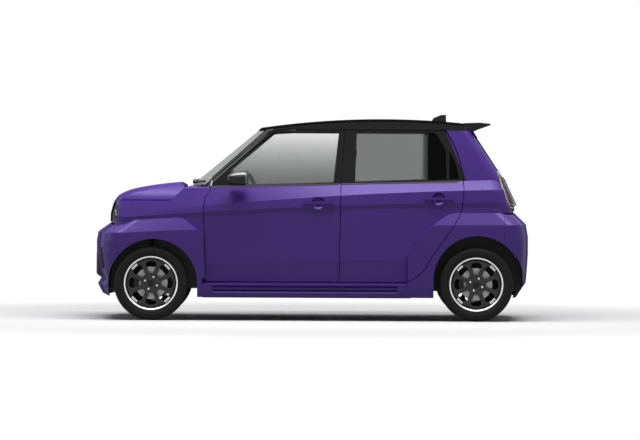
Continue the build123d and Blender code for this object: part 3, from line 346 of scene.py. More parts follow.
LOOKS = {
    "side_frame": frame_paint, "front_door": side_paint, "rear_door": side_paint, "fender": paint, "bonnet": paint,
    "front_bumper": chin_paint, "rear_bumper": rump_paint, "tailgate": tail_paint,
    "roof_panel": gloss_black.mat, "spoiler": gloss_black.mat, "nose_panel": gloss_black.mat, "mirror": gloss_black.mat,
    "windscreen": screen_glass.mat, "tailgate_glass": gate_glass.mat,
    "front_door_glass": glass.mat, "rear_door_glass": rear_glass.mat,
    "dashboard": dash_skin.mat, "steering_wheel": satin.mat, "front_seats": fabric.mat, "rear_seat": fabric.mat,
    "drive_unit": cast.mat, "battery_pack": structure.mat, "floor_pan": structure.mat, "motor_bay": structure.mat,
    "front_subframe": forged.mat, "rear_axle": forged.mat, "knuckle": forged.mat,
    "headlamps": clear.mat, "tail_lamps": smoked.mat, "wipers": satin.mat,
    "tyre_front": rubber.mat, "tyre_rear": rubber.mat, "rim_front": lacquer.mat, "rim_rear": lacquer.mat,
}
for name, node in NODES.items():
    base = name.replace("_left", "").replace("_right", "")
    look = LOOKS[base]
    node.data.materials.clear()
    node.data.materials.append(look)


# ---------------------------------------------------------------- mesh helpers
def add(name, verts, faces, shader, body, bevel=0.0, angle=35, subdivide=0, thick=0.0):
    me = bpy.data.meshes.new(name)
    me.from_pydata([tuple(v) for v in verts], [], faces)
    bm = bmesh.new()
    bm.from_mesh(me)
    bmesh.ops.remove_doubles(bm, verts=bm.verts, dist=1e-6)
    bmesh.ops.recalc_face_normals(bm, faces=bm.faces)
    bm.to_mesh(me)
    bm.free()
    me.materials.append(shader.mat if isinstance(shader, Shader) else shader)
    for p in me.polygons:
        p.use_smooth = True
    me.set_sharp_from_angle(angle=math.radians(angle))
    ob = bpy.data.objects.new(name, me)
    bpy.context.scene.collection.objects.link(ob)
    if thick:
        mod = ob.modifiers.new("thick", "SOLIDIFY")
        mod.thickness, mod.offset = thick, 0
    if subdivide:
        ob.modifiers.new("round", "SUBSURF").render_levels = subdivide
        ob.modifiers["round"].levels = subdivide
    if bevel:
        mod = ob.modifiers.new("edge", "BEVEL")
        mod.width, mod.segments, mod.limit_method, mod.angle_limit = bevel, 2, "ANGLE", math.radians(30)
    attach(ob, body)
    return ob


def rings_mesh(rings, closed_ring=True, closed_path=False, caps=True):
    """Vertices and faces that join equal rings of points."""
    verts = [p for r in rings for p in r]
    n, faces = len(rings[0]), []
    last = len(rings) if closed_path else len(rings) - 1
    for i in range(last):
        a, b = i * n, ((i + 1) % len(rings)) * n
        for j in range(n if closed_ring else n - 1):
            k = (j + 1) % n
            faces.append((a + j, a + k, b + k, b + j))
    if caps and closed_ring and not closed_path:
        faces.append(tuple(range(n)))
        faces.append(tuple(range((len(rings) - 1) * n, len(rings) * n)))
    return verts, faces


def on_wheel(hub, s, r, t, out):
    """The point at a radius, an angle and a distance outwards, in mm, from a wheel's middle."""
    return (hub[0] + r * math.cos(t) / 1000, s * (WHEEL_Y + out / 1000), hub[1] + r * math.sin(t) / 1000)


def oval(x, y, z, half_y, half_z, n):
    """A ring of points that faces along the car."""
    return [(x, y + half_y * math.cos(TAU * k / n), z + half_z * math.sin(TAU * k / n)) for k in range(n)]


def lathe(name, profile, hub, s, shader, body, segments=96, closed=True, bevel=0.0, shape=None):
    """Turns (radius, outwards) points, in mm, about a wheel's axle."""
    rings = []
    for k in range(segments):
        t = TAU * k / segments
        ring = []
        for r, out in profile:
            if shape:
                r, out = shape(k, r, out)
            ring.append(on_wheel(hub, s, r, t, out))
        rings.append(ring)
    verts, faces = rings_mesh(rings, closed_ring=closed, closed_path=True, caps=False)
    return add(name, verts, faces, shader, body, bevel=bevel, angle=30)


def block(name, lo, hi, shader, body, bevel=0.004, taper=0.0):
    """A rounded box, narrower at the top by the taper."""
    (x0, y0, z0), (x1, y1, z1) = lo, hi
    t = taper
    verts = [(x0, y0, z0), (x1, y0, z0), (x1, y1, z0), (x0, y1, z0),
             (x0 + t, y0 + t, z1), (x1 - t, y0 + t, z1), (x1 - t, y1 - t, z1), (x0 + t, y1 - t, z1)]
    faces = [(0, 1, 2, 3), (4, 5, 6, 7), (0, 1, 5, 4), (1, 2, 6, 5), (2, 3, 7, 6), (3, 0, 4, 7)]
    return add(name, verts, faces, shader, body, bevel=bevel)


def sweep(name, points, normals, profile, shader, body, closed=False, angle=40):
    """Moves a profile of (across, off the surface) points, in metres, along a path."""
    pts = [Vector(p) for p in points]
    rings = []
    for i, p in enumerate(pts):
        a = pts[i - 1] if i or closed else p
        b = pts[(i + 1) % len(pts)] if i < len(pts) - 1 or closed else p
        tangent = (b - a).normalized()
        normal = Vector(normals[i])
        normal = (normal - tangent * normal.dot(tangent)).normalized()
        across = tangent.cross(normal)
        rings.append([p + across * u + normal * v for u, v in profile])
    verts, faces = rings_mesh(rings, closed_path=closed)
    return add(name, verts, faces, shader, body, angle=angle)


def surface(*names):
    """A ray-cast tree of some CAD nodes."""
    verts, faces = [], []
    for n in names:
        me = NODES[n].data
        start = len(verts)
        verts += [v.co.copy() for v in me.vertices]
        faces += [tuple(start + i for i in p.vertices) for p in me.polygons]
    return BVHTree.FromPolygons(verts, faces)


def cast_ray(tree, origin, way):
    hit, normal, _, _ = tree.ray_cast(Vector(origin), Vector(way))
    if hit is not None and normal.dot(Vector(way)) > 0:
        normal = -normal
    return hit, normal


def trace(tree, flat, s, view="side"):
    """Points and normals where (x, z) or (y, z) points meet the skin, seen from the side or an end."""
    points, normals = [], []
    for a, b in flat:
        if view == "side":
            hit, normal = cast_ray(tree, (a, s * 1.4, b), (0, -s, 0))
        else:
            hit, normal = cast_ray(tree, (s * 2.4, a, b), (-s, 0, 0))
        if hit is not None:
            points.append(hit)
            normals.append(normal)
    return points, normals


def steps(points, gap=0.02):
    """A polyline cut into short runs."""
    out = [points[0]]
    for a, b in zip(points, points[1:]):
        n = max(1, round(math.dist(a, b) / gap))
        out += [tuple(p + (q - p) * k / n for p, q in zip(a, b)) for k in range(1, n + 1)]
    return out


def seam_profile(width, proud=0.0006, deep=0.0015):
    h = width / 2
    return [(-h, -deep), (-h, proud * 0.5), (0, proud), (h, proud * 0.5), (h, -deep)]


# ---------------------------------------------------------------- wheels
WINDOW = {78: 0.42, 84: 0.52, 96: 0.60, 112: 0.66, 130: 0.70, 148: 0.73, 158: 0.68, 166: 0.55, 170: 0.36}
STATIONS = (24, 36, 50, 62, 72, 78, 84, 96, 112, 130, 148, 158, 166, 170, 178, 186)
SPOKES = 8


def window_width(r):
    """The share of a sector that its window takes at a radius."""
    keys = sorted(WINDOW)
    if r <= keys[0] or r >= keys[-1]:
        return WINDOW[keys[0] if r <= keys[0] else keys[-1]]
    for a, b in zip(keys, keys[1:]):
        if a <= r <= b:
            return WINDOW[a] + (WINDOW[b] - WINDOW[a]) * (r - a) / (b - a)


def rim_face(name, hub, s, body):
    """The spoked face: a polar grid with a window left out between each pair of spokes."""
    half = math.pi / SPOKES
    columns = [(sector, c) for sector in range(SPOKES) for c in range(8)]
    verts, faces = [], []

    for r in STATIONS:
        w = window_width(r)
        spread = (-1, -(1 + w) / 2, -w, -w / 2, 0, w / 2, w, (1 + w) / 2)
        for sector, c in columns:
            t = spread[c]
            angle = (2 * sector + t) * half
            crown = max(0.0, (abs(t) - w) / (1 - w)) if 60 < r < 172 else 0.0
            out = 40 + 20 * min(1, max(0, (r - 50) / 120)) ** 1.4 + 5 * crown - (4 if 40 < r < 70 else 0)
            verts.append(on_wheel(hub, s, r, angle, out - 6))
    n = len(columns)
    for i, (r0, r1) in enumerate(zip(STATIONS, STATIONS[1:])):
        for j, (sector, c) in enumerate(columns):
            hole = 78 <= r0 and r1 <= 170 and c in (2, 3, 4, 5)
            if not hole:
                k = (j + 1) % n
                faces.append((i * n + j, i * n + k, (i + 1) * n + k, (i + 1) * n + j))
    return add(name, verts, faces, lacquer, body, thick=0.012, bevel=0.0018, angle=30)


BARREL = [(208, 75), (208, 69), (196, 66), (190, 60), (190, -60), (196, -66), (208, -69), (208, -75), (202, -75),
          (184, -60), (178, -54), (178, 42), (184, 52)]
LIP = [(193, 60), (194, 66), (197, 70), (201, 74.5), (205, 76.5), (208.3, 75.5), (208.3, 71), (200, 67), (196, 62)]
TYRE_HALF = [(190.3, 59.4), (196.2, 65.3), (208.4, 68.8), (211, 74), (214, 77.5), (217, 79.6), (218.5, 79.2),
             (226, 83.6), (238, 87.0), (250, 87.2), (258, 85.8), (259, 87.0), (264, 86.4), (268, 84.6), (273, 82.0),
             (279, 77.5), (284.2, 69), (286.0, 60), (286.6, 47.5), (279.5, 46), (279.5, 39.5), (286.9, 38),
             (287.0, 18.5), (279.8, 17), (279.8, 10.5), (287.0, 9)]
TYRE = TYRE_HALF + [(r, -o) for r, o in reversed(TYRE_HALF)]
DISC = [(62, -10), (72, -10), (74, -13), (126, -13), (128, -15), (128, -20), (120, -22), (120, -26), (128, -28),
        (126, -33), (62, -33)]
CAP = [(0.01, 47.5), (12, 47), (22, 44.5), (26, 41), (26.5, 30), (0.01, 30)]
HUB_BARREL = [(18.2, -33), (18.2, 30), (58, 30), (62, 24), (62, -33)]
CALIPER = [(98, -46), (98, -36), (131, -36), (131, -10), (98, -10), (96, 4), (138, 4), (144, -2), (144, -46)]
PAD_HALF, PAD_STEP = math.radians(1.15), math.radians(3.4)
TREAD_COLUMNS = 256


def tread(k, r, out):
    """Cross grooves over the shoulders and fine ones in the middle ribs."""
    if r > 284 and abs(out) > 47 and k % 4 == 0:
        return r - 5.0, out
    if 272 < r <= 284.5 and abs(out) > 60 and k % 4 == 0:
        return r - 2.5, out
    if r > 286.5 and abs(out) < 39 and (k + (2 if out > 0 else 0)) % 4 == 0:
        return r - 3.0, out
    return r, out


def nut(name, hub, s, body, angle, radius):
    cx, cz = hub[0] + radius * math.cos(angle), hub[1] + radius * math.sin(angle)
    rings = []
    corners = [TAU * k / 6 + angle for k in range(6)]
    for out, r in ((0.026, 0.0095), (0.041, 0.0095), (0.0445, 0.0065)):
        rings.append([(cx + r * math.cos(t), s * (WHEEL_Y + out), cz + r * math.sin(t)) for t in corners])
    verts, faces = rings_mesh(rings)
    return add(name, verts, faces, machined, body, bevel=0.0008)


def wheel(end, label, s):
    hub = (FRONT_AXLE if end == "front" else REAR_AXLE, HUB_Z)
    tag = end + "_" + label
    body = "wheel_" + tag
    face = rim_face("rim_face_" + tag, hub, s, body)
    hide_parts("rim_" + tag)
    lathe("rim_barrel_" + tag, BARREL, hub, s, lacquer, body)
    lathe("rim_lip_" + tag, LIP, hub, s, machined, body, 128)
    lathe("hub_barrel_" + tag, HUB_BARREL, hub, s, lacquer, body, 48)
    lathe("wheel_cap_" + tag, CAP, hub, s, gloss_black, body, 48)
    lathe("brake_disc_" + tag, DISC, hub, s, disc_metal, body, 72)
    for k in range(4):
        nut("wheel_nut_%s_%d" % (tag, k), hub, s, body, TAU * (k + 0.5) / 4 + math.pi / 8, 0.050)
    pads, faces = [], []
    for corner in range(4):
        for rib in range(5):
            mid = TAU * (corner + 0.5) / 4 + (rib - 2) * PAD_STEP
            start = len(pads)
            for inner, outer in ((56, 60), (65.5, 68.5)):
                for t, r, out in ((mid - PAD_HALF, 171, inner), (mid + PAD_HALF, 171, inner),
                                  (mid + PAD_HALF, 188, outer), (mid - PAD_HALF, 188, outer)):
                    pads.append(on_wheel(hub, s, r, t, out))
            faces += [tuple(start + k for k in (0, 1, 2, 3)), tuple(start + k for k in (4, 5, 6, 7))]
            faces += [(start + j, start + (j + 1) % 4, start + 4 + (j + 1) % 4, start + 4 + j) for j in range(4)]
    add("rim_pads_" + tag, pads, faces, machined, body, bevel=0.0006)
    tyre = lathe("tyre_tread_" + tag, TYRE, hub, s, rubber, body, TREAD_COLUMNS, shape=tread)
    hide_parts("tyre_" + tag)
    carrier = "knuckle_" + label if end == "front" else "shell"
    arc = []
    for k in range(9):
        t = math.radians(155 + 6 * k)
        arc.append([on_wheel(hub, s, r, t, o) for r, o in CALIPER])
    verts, faces = rings_mesh(arc)
    add("brake_caliper_" + tag, verts, faces, forged, carrier, bevel=0.002)
    t = math.radians(250)
    stem = [on_wheel(hub, s, r, t, o) for r, o in ((176, 48), (168, 56), (160, 64))]
    ring8 = [(0.003 * math.cos(TAU * k / 8), 0.003 * math.sin(TAU * k / 8)) for k in range(8)]
    sweep("valve_" + tag, stem, [(0.3, 1, 0.2)] * 3, ring8, seal, body)


for label, s in SIDES:
    for end in ("front", "rear"):
        wheel(end, label, s)


# ---------------------------------------------------------------- lamps
def round_profile(radius, n=8):
    return [(radius * math.cos(TAU * k / n), radius * math.sin(TAU * k / n)) for k in range(n)]


head_skin = surface("headlamps")


def head_grid(s, radii, depths, steps_round=48):
    """Rings of points round a headlamp's middle, laid on its outer face and sunk by the depths."""
    rings = []
    for r, depth in zip(radii, depths):
        ring = []
        for k in range(steps_round):
            t = TAU * k / steps_round
            hit, _ = cast_ray(head_skin, (-2.4, s * HEAD_Y + r * math.cos(t), HEAD_Z + r * math.sin(t)), (1, 0, 0))
            if hit is None:
                hit = ring[-1] if ring else Vector((-1.53, s * HEAD_Y, HEAD_Z))
            ring.append(Vector(hit) + Vector((depth, 0, 0)))
        rings.append(ring)
    return rings


def headlamp(label, s):
    cover = head_grid(s, (0.0803, 0.079, 0.068, 0.054, 0.038, 0.02, 0.004), (0.002, 0.0, 0, 0, 0, 0, 0))
    verts, faces = rings_mesh(cover)
    lens = add("headlamp_cover_" + label, verts, faces[:-2] + [faces[-1]], clear, "shell", thick=0.0015)
    if s < 0:
        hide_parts("headlamps")
    ring = head_grid(s, (0.0715,), (0.007,))[0]
    normals = [(-1, 0, 0)] * len(ring)
    sweep("headlamp_ring_" + label, ring, normals, round_profile(0.0042, 10), lamp_white, "shell", closed=True)
    bowl = head_grid(s, (0.0800, 0.0795, 0.066, 0.062, 0.050, 0.036, 0.030),
                     (0.004, 0.012, 0.014, 0.022, 0.026, 0.028, 0.030))
    verts, faces = rings_mesh(bowl)
    add("headlamp_bowl_" + label, verts, faces[:-2] + [faces[-1]], lamp_black, "shell", thick=0.001)
    middle = head_grid(s, (0.001,), (0.0,))[0][0]
    dome = []
    for r, out in ((0.031, 0.030), (0.031, 0.020), (0.029, 0.016), (0.027, 0.0165)):
        dome.append(oval(middle.x + out, s * HEAD_Y, HEAD_Z, r, r, 32))
    verts, faces = rings_mesh(dome)
    add("headlamp_bezel_" + label, verts, faces, mirror_metal, "shell")
    dome = []
    for k in range(7):
        a = math.pi / 2 * k / 6.3
        r = 0.0265 * math.cos(a)
        dome.append(oval(middle.x + 0.020 - 0.012 * math.sin(a), s * HEAD_Y, HEAD_Z, r, r, 32))
    verts, faces = rings_mesh(dome)
    add("headlamp_lens_" + label, verts, faces, smoked, "shell")


def rounded_loop(y0, y1, z0, z1, r, lean=0.0):
    """Corner-rounded box of (y, z) points; the side nearer the middle leans."""
    out = []
    for cy, cz, a0 in ((y1 - r, z1 - r, 0), (y0 + r, z1 - r, 90), (y0 + r, z0 + r, 180), (y1 - r, z0 + r, 270)):
        for k in range(6):
            a = math.radians(a0 + 18 * k)
            out.append((cy + r * math.cos(a) + lean * (cz - z0), cz + r * math.sin(a)))
    return out


def tail_lamp(label, s):
    skin = surface("tail_lamps")
    for name, shader, inset, radius in (("outer", lamp_white, 0.018, 0.0065), ("inner", lens_red, 0.042, 0.005)):
        loop = rounded_loop(0.545 + inset, 0.690 - inset * 0.6, 0.862 + inset, 1.185 - inset, 0.03, -0.06)
        flat = steps([(s * y, z) for y, z in loop] + [(s * loop[0][0], loop[0][1])], 0.012)[:-1]
        points, normals = [], []
        for y, z in flat:
            hit, normal = cast_ray(skin, (2.4, y, z), (-1, 0, 0))
            if hit is not None:
                points.append(hit - normal * radius * 0.2)
                normals.append(normal)
        if len(points) > 8:
            sweep("tail_lamp_%s_%s" % (name, label), points, normals, round_profile(radius), shader, "shell",
                  closed=True)


for label, s in SIDES:
    headlamp(label, s)
    tail_lamp(label, s)


# ---------------------------------------------------------------- panel lines, mouldings and trims
def line(name, nodes, flat, s, body, width=0.004, proud=0.0004, shader=shut_line, view="side", gap=0.015):
    points, normals = trace(surface(*nodes), steps(flat, gap), s, view)
    if len(points) > 1:
        sweep(name, points, normals, seam_profile(width, proud), shader, body)


MOULDING = [(-0.008, -0.002), (-0.008, 0.001), (-0.005, 0.003), (0.005, 0.003), (0.008, 0.001), (0.008, -0.002)]
for label, s in SIDES:
    front = ("fender_" + label, "front_bumper", "nose_panel")
    rear = ("side_frame_" + label, "rear_bumper")
    line("line_front_bumper_" + label, front, [(-1.5015, 0.27), (-1.5015, 0.498), (-1.5365, 0.752)], s, "shell")
    line("line_rear_bumper_" + label, rear, [(1.4882, 0.835), (1.4882, 0.60)], s, "shell", 0.003)
    line("line_roof_" + label, ("side_frame_" + label,), [(1.03, 1.4785), (1.36, 1.4785)], s, "shell", 0.004)
    line("line_quarter_" + label, rear, [(1.15, 0.8435), (1.46, 0.8435)], s, "shell", 0.003)
    for name, x0, x1 in (("front", -0.80, 0.205), ("rear", 0.225, 1.13)):
        door = "%s_door_%s" % (name, label)
        points, normals = trace(surface(door), steps([(x0, belt(x0) + 0.001), (x1, belt(x1) + 0.001)]), s)
        sweep("belt_moulding_%s_%s" % (name, label), points, normals, MOULDING, seal, door)

# side slots in the front bumper, seen as dark uprights at its corners
for label, s in SIDES:
    y0, y1 = sorted((s * 0.636, s * 0.674))
    block("bumper_slot_" + label, (-1.645, y0, 0.40), (-1.60, y1, 0.565), seal, "shell", 0.003)

# grille backing with fine uprights
block("grille_backing", (-1.655, -0.425, 0.325), (-1.646, 0.425, 0.475), seal, "shell", 0.001)
BAR_FACES = ((0, 1, 3, 2), (4, 5, 7, 6), (0, 1, 5, 4), (2, 3, 7, 6), (0, 2, 6, 4), (1, 3, 7, 5))
verts, faces = [], []
for k in range(41):
    y = -0.41 + 0.0205 * k
    start = len(verts)
    for x in (-1.668, -1.654):
        for yy in (y - 0.0015, y + 0.0015):
            for z in (0.334, 0.466):
                verts.append((x, yy, z))
    faces += [tuple(start + i for i in f) for f in BAR_FACES]
add("grille_uprights", verts, faces, satin, "shell")


def plate(name, body, x, z, way):
    """A blank number plate with its raised rim."""
    w, h, d = 0.165, 0.0825, 0.004
    lo, hi = sorted((x, x + way * d))
    block(name, (lo, -w, z - h), (hi, w, z + h), plate_white, body, 0.0015)
    edge = rounded_loop(-w + 0.002, w - 0.002, -h + 0.002, h - 0.002, 0.012)
    loop = [(x + way * d, y, rise + z) for y, rise in edge]
    sweep(name + "_rim", loop, [(way, 0, 0)] * len(loop), round_profile(0.0018, 6), plate_white, body, closed=True)


front_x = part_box("front_bumper")[0].x
block("plate_mount", (front_x + 0.006, -0.178, 0.336), (-1.644, 0.178, 0.508), body_paint, "shell", 0.005)
plate("plate_front", "shell", front_x + 0.0065, 0.43, -1)

# mirrors: glass and its edge
MIRROR_Y, MIRROR_Z = 0.812, 1.1
for label, s in SIDES:
    loop = [(y * s, z) for y, z in rounded_loop(0.738, 0.886, 1.058, 1.142, 0.03)]
    small = [((y - s * MIRROR_Y) * 0.95 + s * MIRROR_Y, (z - MIRROR_Z) * 0.93 + MIRROR_Z) for y, z in loop]
    for name, shape, x0, x1, shader in (("edge", loop, -0.5165, -0.5135, seal),
                                        ("glass", small, -0.5137, -0.5125, mirror_metal)):
        verts, faces = rings_mesh([[(x, y, z) for y, z in shape] for x in (x0, x1)])
        add("mirror_%s_%s" % (name, label), verts, faces, shader, "front_door_" + label)

# mirror housings: a rounded cowl over the solid's box, on a faired arm
BOXY = 0.62  # 1 would make the cowl's sections ovals, and 0 boxes
for label, s in SIDES:
    door, rings = "front_door_" + label, []
    for k in range(9):
        t = math.sin(math.pi / 2 * k / 8)
        x = -0.655 + 0.139 * (1 - math.cos(math.pi / 2 * k / 8)) if k < 8 else -0.516
        half_y, top, foot = 0.046 + 0.0425 * t, 1.112 + 0.044 * t, 1.066 - 0.022 * t
        mid, half_z = (top + foot) / 2, (top - foot) / 2
        ring = []
        for j in range(40):
            a = TAU * j / 40
            c, d = [math.copysign(abs(v) ** BOXY, v) for v in (math.cos(a), math.sin(a))]
            ring.append((x, s * 0.8125 + half_y * c, mid + half_z * d))
        rings.append(ring)
    verts, faces = rings_mesh(rings)
    cowl = add("mirror_cowl_" + label, verts, faces, mirror_shell, door, angle=50)
    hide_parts("mirror_" + label)
    arm = []
    for k in range(7):
        t = k / 6
        y = s * (0.700 + 0.075 * t)
        hx, hz = 0.030 - 0.006 * t, 0.013 + 0.006 * t * t
        z = 1.056 + 0.006 * t
        arm.append([(-0.612 + hx * math.cos(TAU * j / 20), y, z + hz * math.sin(TAU * j / 20)) for j in range(20)])
    verts, faces = rings_mesh(arm)
    add("mirror_arm_" + label, verts, faces, gloss_black, door)

# wipers: pivots, arms and blades along the foot of the screen
screen = surface("windscreen")
BLADE = [(-0.004, -0.004), (-0.0015, -0.0055), (0.0015, -0.0055), (0.004, -0.004), (0.006, 0.004), (-0.006, 0.004)]
ARM = [(-0.007, -0.002), (0.007, -0.002), (0.005, 0.003), (-0.005, 0.003)]


def wiper(name, y0, y1, first):
    pts, nrm = [], []
    for k in range(25):
        t = k / 24
        y, z = y0 + (y1 - y0) * t, 1.062 + 0.013 * t
        hit, normal = cast_ray(screen, (-2.4, y, z), (1, 0, 0))
        if hit is not None:
            pts.append(hit)
            nrm.append(normal)
    blade = sweep(name + "_blade", [p + n * 0.006 for p, n in zip(pts, nrm)], nrm, BLADE, seal, "shell")
    arm = []
    for k in range(15):
        t = k / 14
        i = round(t * len(pts) * 0.55)
        arm.append(pts[i] + nrm[i] * (0.012 + 0.010 * math.sin(math.pi * t)) + Vector((-0.004, 0, 0.006 * t)))
    sweep(name + "_arm", arm, nrm[:len(arm)], ARM, satin, "shell")
    if first:
        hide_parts("wipers")
    cap = pts[0] + nrm[0] * 0.008
    turn = [TAU * k / 24 for k in range(24)]
    ring = [[(cap.x + r * math.cos(t), cap.y + r * math.sin(t), cap.z - 0.012 + h) for t in turn]
            for r, h in ((0.015, 0.0), (0.015, 0.014), (0.012, 0.019), (0.004, 0.021))]
    verts, faces = rings_mesh(ring)
    add(name + "_pivot", verts, faces, satin, "shell")


# the plastic cowl along the foot of the screen
strips = []
for k in range(45):
    y = -0.66 + 1.32 * k / 44
    hit, _ = cast_ray(screen, (-2.4, y, 1.068), (1, 0, 0))
    if hit is not None:
        x, deep = hit.x, 0.018 + 0.047 * (y / 0.66) ** 2
        strips.append([(x - deep, y, 1.040), (x - deep + 0.001, y, 1.046), (x - 0.012, y, 1.0585),
                       (x + 0.004, y, 1.064), (x + 0.006, y, 1.036)])
verts, faces = rings_mesh(strips)
add("cowl_panel", verts, faces, satin, "shell")

wiper("wiper_left", -0.02, -0.52, True)
wiper("wiper_right", 0.50, 0.04, False)


# ---------------------------------------------------------------- seats
def pillow(name, centre, half, lean, puff=0.012, grooves=(), n=(16, 16, 6)):
    """A stuffed pad: a rounded, crowned form leaned about the y axis, with sewn channels across its face."""
    verts, faces, index = [], [], {}
    nx, ny, nz = n
    ca, sa = math.cos(lean), math.sin(lean)

    def point(i, j, k):
        key = (i, j, k)
        if key not in index:
            a, b, c = 2 * i / nx - 1, 2 * j / ny - 1, 2 * k / nz - 1
            p = []
            r = min(half) * 0.81
            q = [a * half[0], b * half[1], c * half[2]]
            inner = [max(-h + r, min(h - r, v)) for h, v in zip(half, q)]
            d = [v - w for v, w in zip(q, inner)]
            length = math.sqrt(sum(v * v for v in d)) or 1.0
            if any(abs(v) > 1e-9 for v in d):
                q = [w + v / length * r for w, v in zip(inner, d)]
            else:
                q = inner
            swell = puff * (1 - a * a) * (1 - b * b)
            q[2] += swell * (1 if c > 0 else -0.3) * abs(c)
            pull = 1 - 0.05 * (1 - b * b) if abs(a) > 0.9 else 1.0
            q[0] *= pull
            for axis, at, depth in grooves:
                gap = (a if axis == 0 else b) - at
                q[2] -= depth * math.exp(-(gap / 0.06) ** 2) * max(0, c)
            x, z = q[0] * ca + q[2] * sa, -q[0] * sa + q[2] * ca
            index[key] = len(verts)
            verts.append((centre[0] + x, centre[1] + q[1], centre[2] + z))
        return index[key]

    for i in range(nx):
        for j in range(ny):
            for k in (0, nz):
                faces.append((point(i, j, k), point(i + 1, j, k), point(i + 1, j + 1, k), point(i, j + 1, k)))
    for i in range(nx):
        for k in range(nz):
            for j in (0, ny):
                faces.append((point(i, j, k), point(i + 1, j, k), point(i + 1, j, k + 1), point(i, j, k + 1)))
    for j in range(ny):
        for k in range(nz):
            for i in (0, nx):
                faces.append((point(i, j, k), point(i, j + 1, k), point(i, j + 1, k + 1), point(i, j, k + 1)))
    pad = add(name, verts, faces, fabric, "shell", subdivide=1, angle=180)
    return pad


HEAD_LEAN, BENCH_LEAN = math.radians(-77), math.radians(-72)
GROOVES = [(0, -0.35, 0.007), (0, 0.15, 0.007), (1, -0.62, 0.009), (1, 0.62, 0.009)]
for label, s in SIDES:
    y = s * 0.34
    pad = pillow("seat_cushion_" + label, (-0.105, y, 0.485), (0.225, 0.225, 0.055), -0.06, 0.012, GROOVES)
    if s < 0:
        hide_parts("front_seats")
    pillow("seat_back_" + label, (0.200, y, 0.835), (0.335, 0.22, 0.045), HEAD_LEAN, 0.014, GROOVES)
    pillow("seat_head_" + label, (0.300, y, 1.262), (0.082, 0.125, 0.036), HEAD_LEAN, 0.008)
    block("seat_plinth_" + label, (-0.30, y - 0.19, 0.311), (0.13, y + 0.19, 0.44), satin, "shell", 0.012, 0.01)
    for dy in (-0.06, 0.06):
        post = [(0.272 + 0.02 * k / 3, y + dy, 1.14 + 0.06 * k / 3) for k in range(4)]
        sweep("seat_post_%s_%d" % (label, dy > 0), post, [(1, 0, 0)] * 4, round_profile(0.006), machined, "shell")
    pillow("rear_head_" + label, (1.128, s * 0.30, 1.125), (0.075, 0.115, 0.034), BENCH_LEAN, 0.008)
bench = pillow("rear_cushion", (0.775, 0, 0.482), (0.205, 0.53, 0.062), -0.03, 0.012,
               [(0, -0.2, 0.006), (1, -0.5, 0.01), (1, 0.0, 0.01), (1, 0.5, 0.01)], (14, 30, 6))
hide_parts("rear_seat")
pillow("rear_back", (1.045, 0, 0.78), (0.29, 0.53, 0.05), BENCH_LEAN, 0.014,
       [(0, 0.1, 0.006), (1, -0.5, 0.01), (1, 0.0, 0.012), (1, 0.5, 0.01)], (16, 30, 6))

# ---------------------------------------------------------------- cabin details
block("instrument_hood", (-0.64, 0.22, 0.975), (-0.56, 0.46, 1.035), dash_skin, "shell", 0.012, 0.012)
block("instrument_screen", (-0.566, 0.235, 0.985), (-0.556, 0.445, 1.026), display, "shell", 0.003)
block("centre_screen", (-0.60, -0.115, 0.945), (-0.585, 0.115, 1.075), display, "shell", 0.004)
for label, s in SIDES:
    for end, x0, x1 in (("front", -0.45, 0.10), ("rear", 0.42, 0.80)):
        door = "%s_door_%s" % (end, label)
        y0, y1 = sorted((s * 0.643, s * 0.592))
        block("armrest_%s_%s" % (end, label), (x0, y0, 0.70), (x1, y1, 0.76), dash_skin, door, 0.012, 0.006)
        y0, y1 = sorted((s * 0.643, s * 0.634))
        block("door_card_%s_%s" % (end, label), (x0 - 0.08, y0, 0.42), (x1 + 0.04, y1, 0.66), fabric, door, 0.006)
hub = Vector((-0.425, 0.340, 0.962))
axis = Vector((-math.cos(math.radians(25)), 0, -math.sin(math.radians(25))))
up = Vector((0, 1, 0)).cross(axis)
pad_rings = []
for depth, r in ((0.012, 0.062), (-0.004, 0.066), (-0.014, 0.058), (-0.020, 0.036), (-0.021, 0.004)):
    across, rise = Vector((0, 1, 0)) * (r * 1.05), up * (r * 0.85)
    pad_rings.append([hub + axis * depth + across * math.cos(TAU * k / 32) + rise * math.sin(TAU * k / 32)
                      for k in range(32)])
verts, faces = rings_mesh(pad_rings)
add("steering_pad", verts, faces, dash_skin, "steering_wheel")

# ---------------------------------------------------------------- tail
block("brake_lamp_high", (1.3800, -0.13, 1.5245), (1.3868, 0.13, 1.5325), lens_red, "tailgate", 0.001)
rear_skin = surface("rear_bumper")
for label, s in SIDES:
    y0, y1 = sorted((s * 0.50, s * 0.60))
    hit, _ = cast_ray(rear_skin, (2.4, s * 0.55, 0.40), (-1, 0, 0))
    block("reflector_" + label, (hit.x - 0.01, y0, 0.385), (hit.x + 0.003, y1, 0.415), lens_red, "shell", 0.0015)

# ---------------------------------------------------------------- camera, light and stage
METRES_PER_PIXEL = 0.007775
WIDE = 640 * METRES_PER_PIXEL / 1.004  # the frame's width at the car's side
AIM_X, AIM_Z = 0.0571, 0.7816
CAMERA_Y, CAMERA_Z, SIDE_PLANE, ROLL = -38.0, 1.3, -0.74, -0.28
camera = bpy.data.objects.new("camera", bpy.data.cameras.new("camera"))
bpy.context.scene.collection.objects.link(camera)
camera.location = (AIM_X, CAMERA_Y, CAMERA_Z)
camera.rotation_euler = (math.radians(90), math.radians(ROLL), 0)
camera.data.sensor_width = 36
camera.data.lens = 36 * (SIDE_PLANE - CAMERA_Y) / WIDE
camera.data.shift_y = (AIM_Z - CAMERA_Z) / WIDE
camera.data.clip_end = 200
bpy.context.scene.camera = camera
bpy.context.scene.view_settings.view_transform = "Standard"

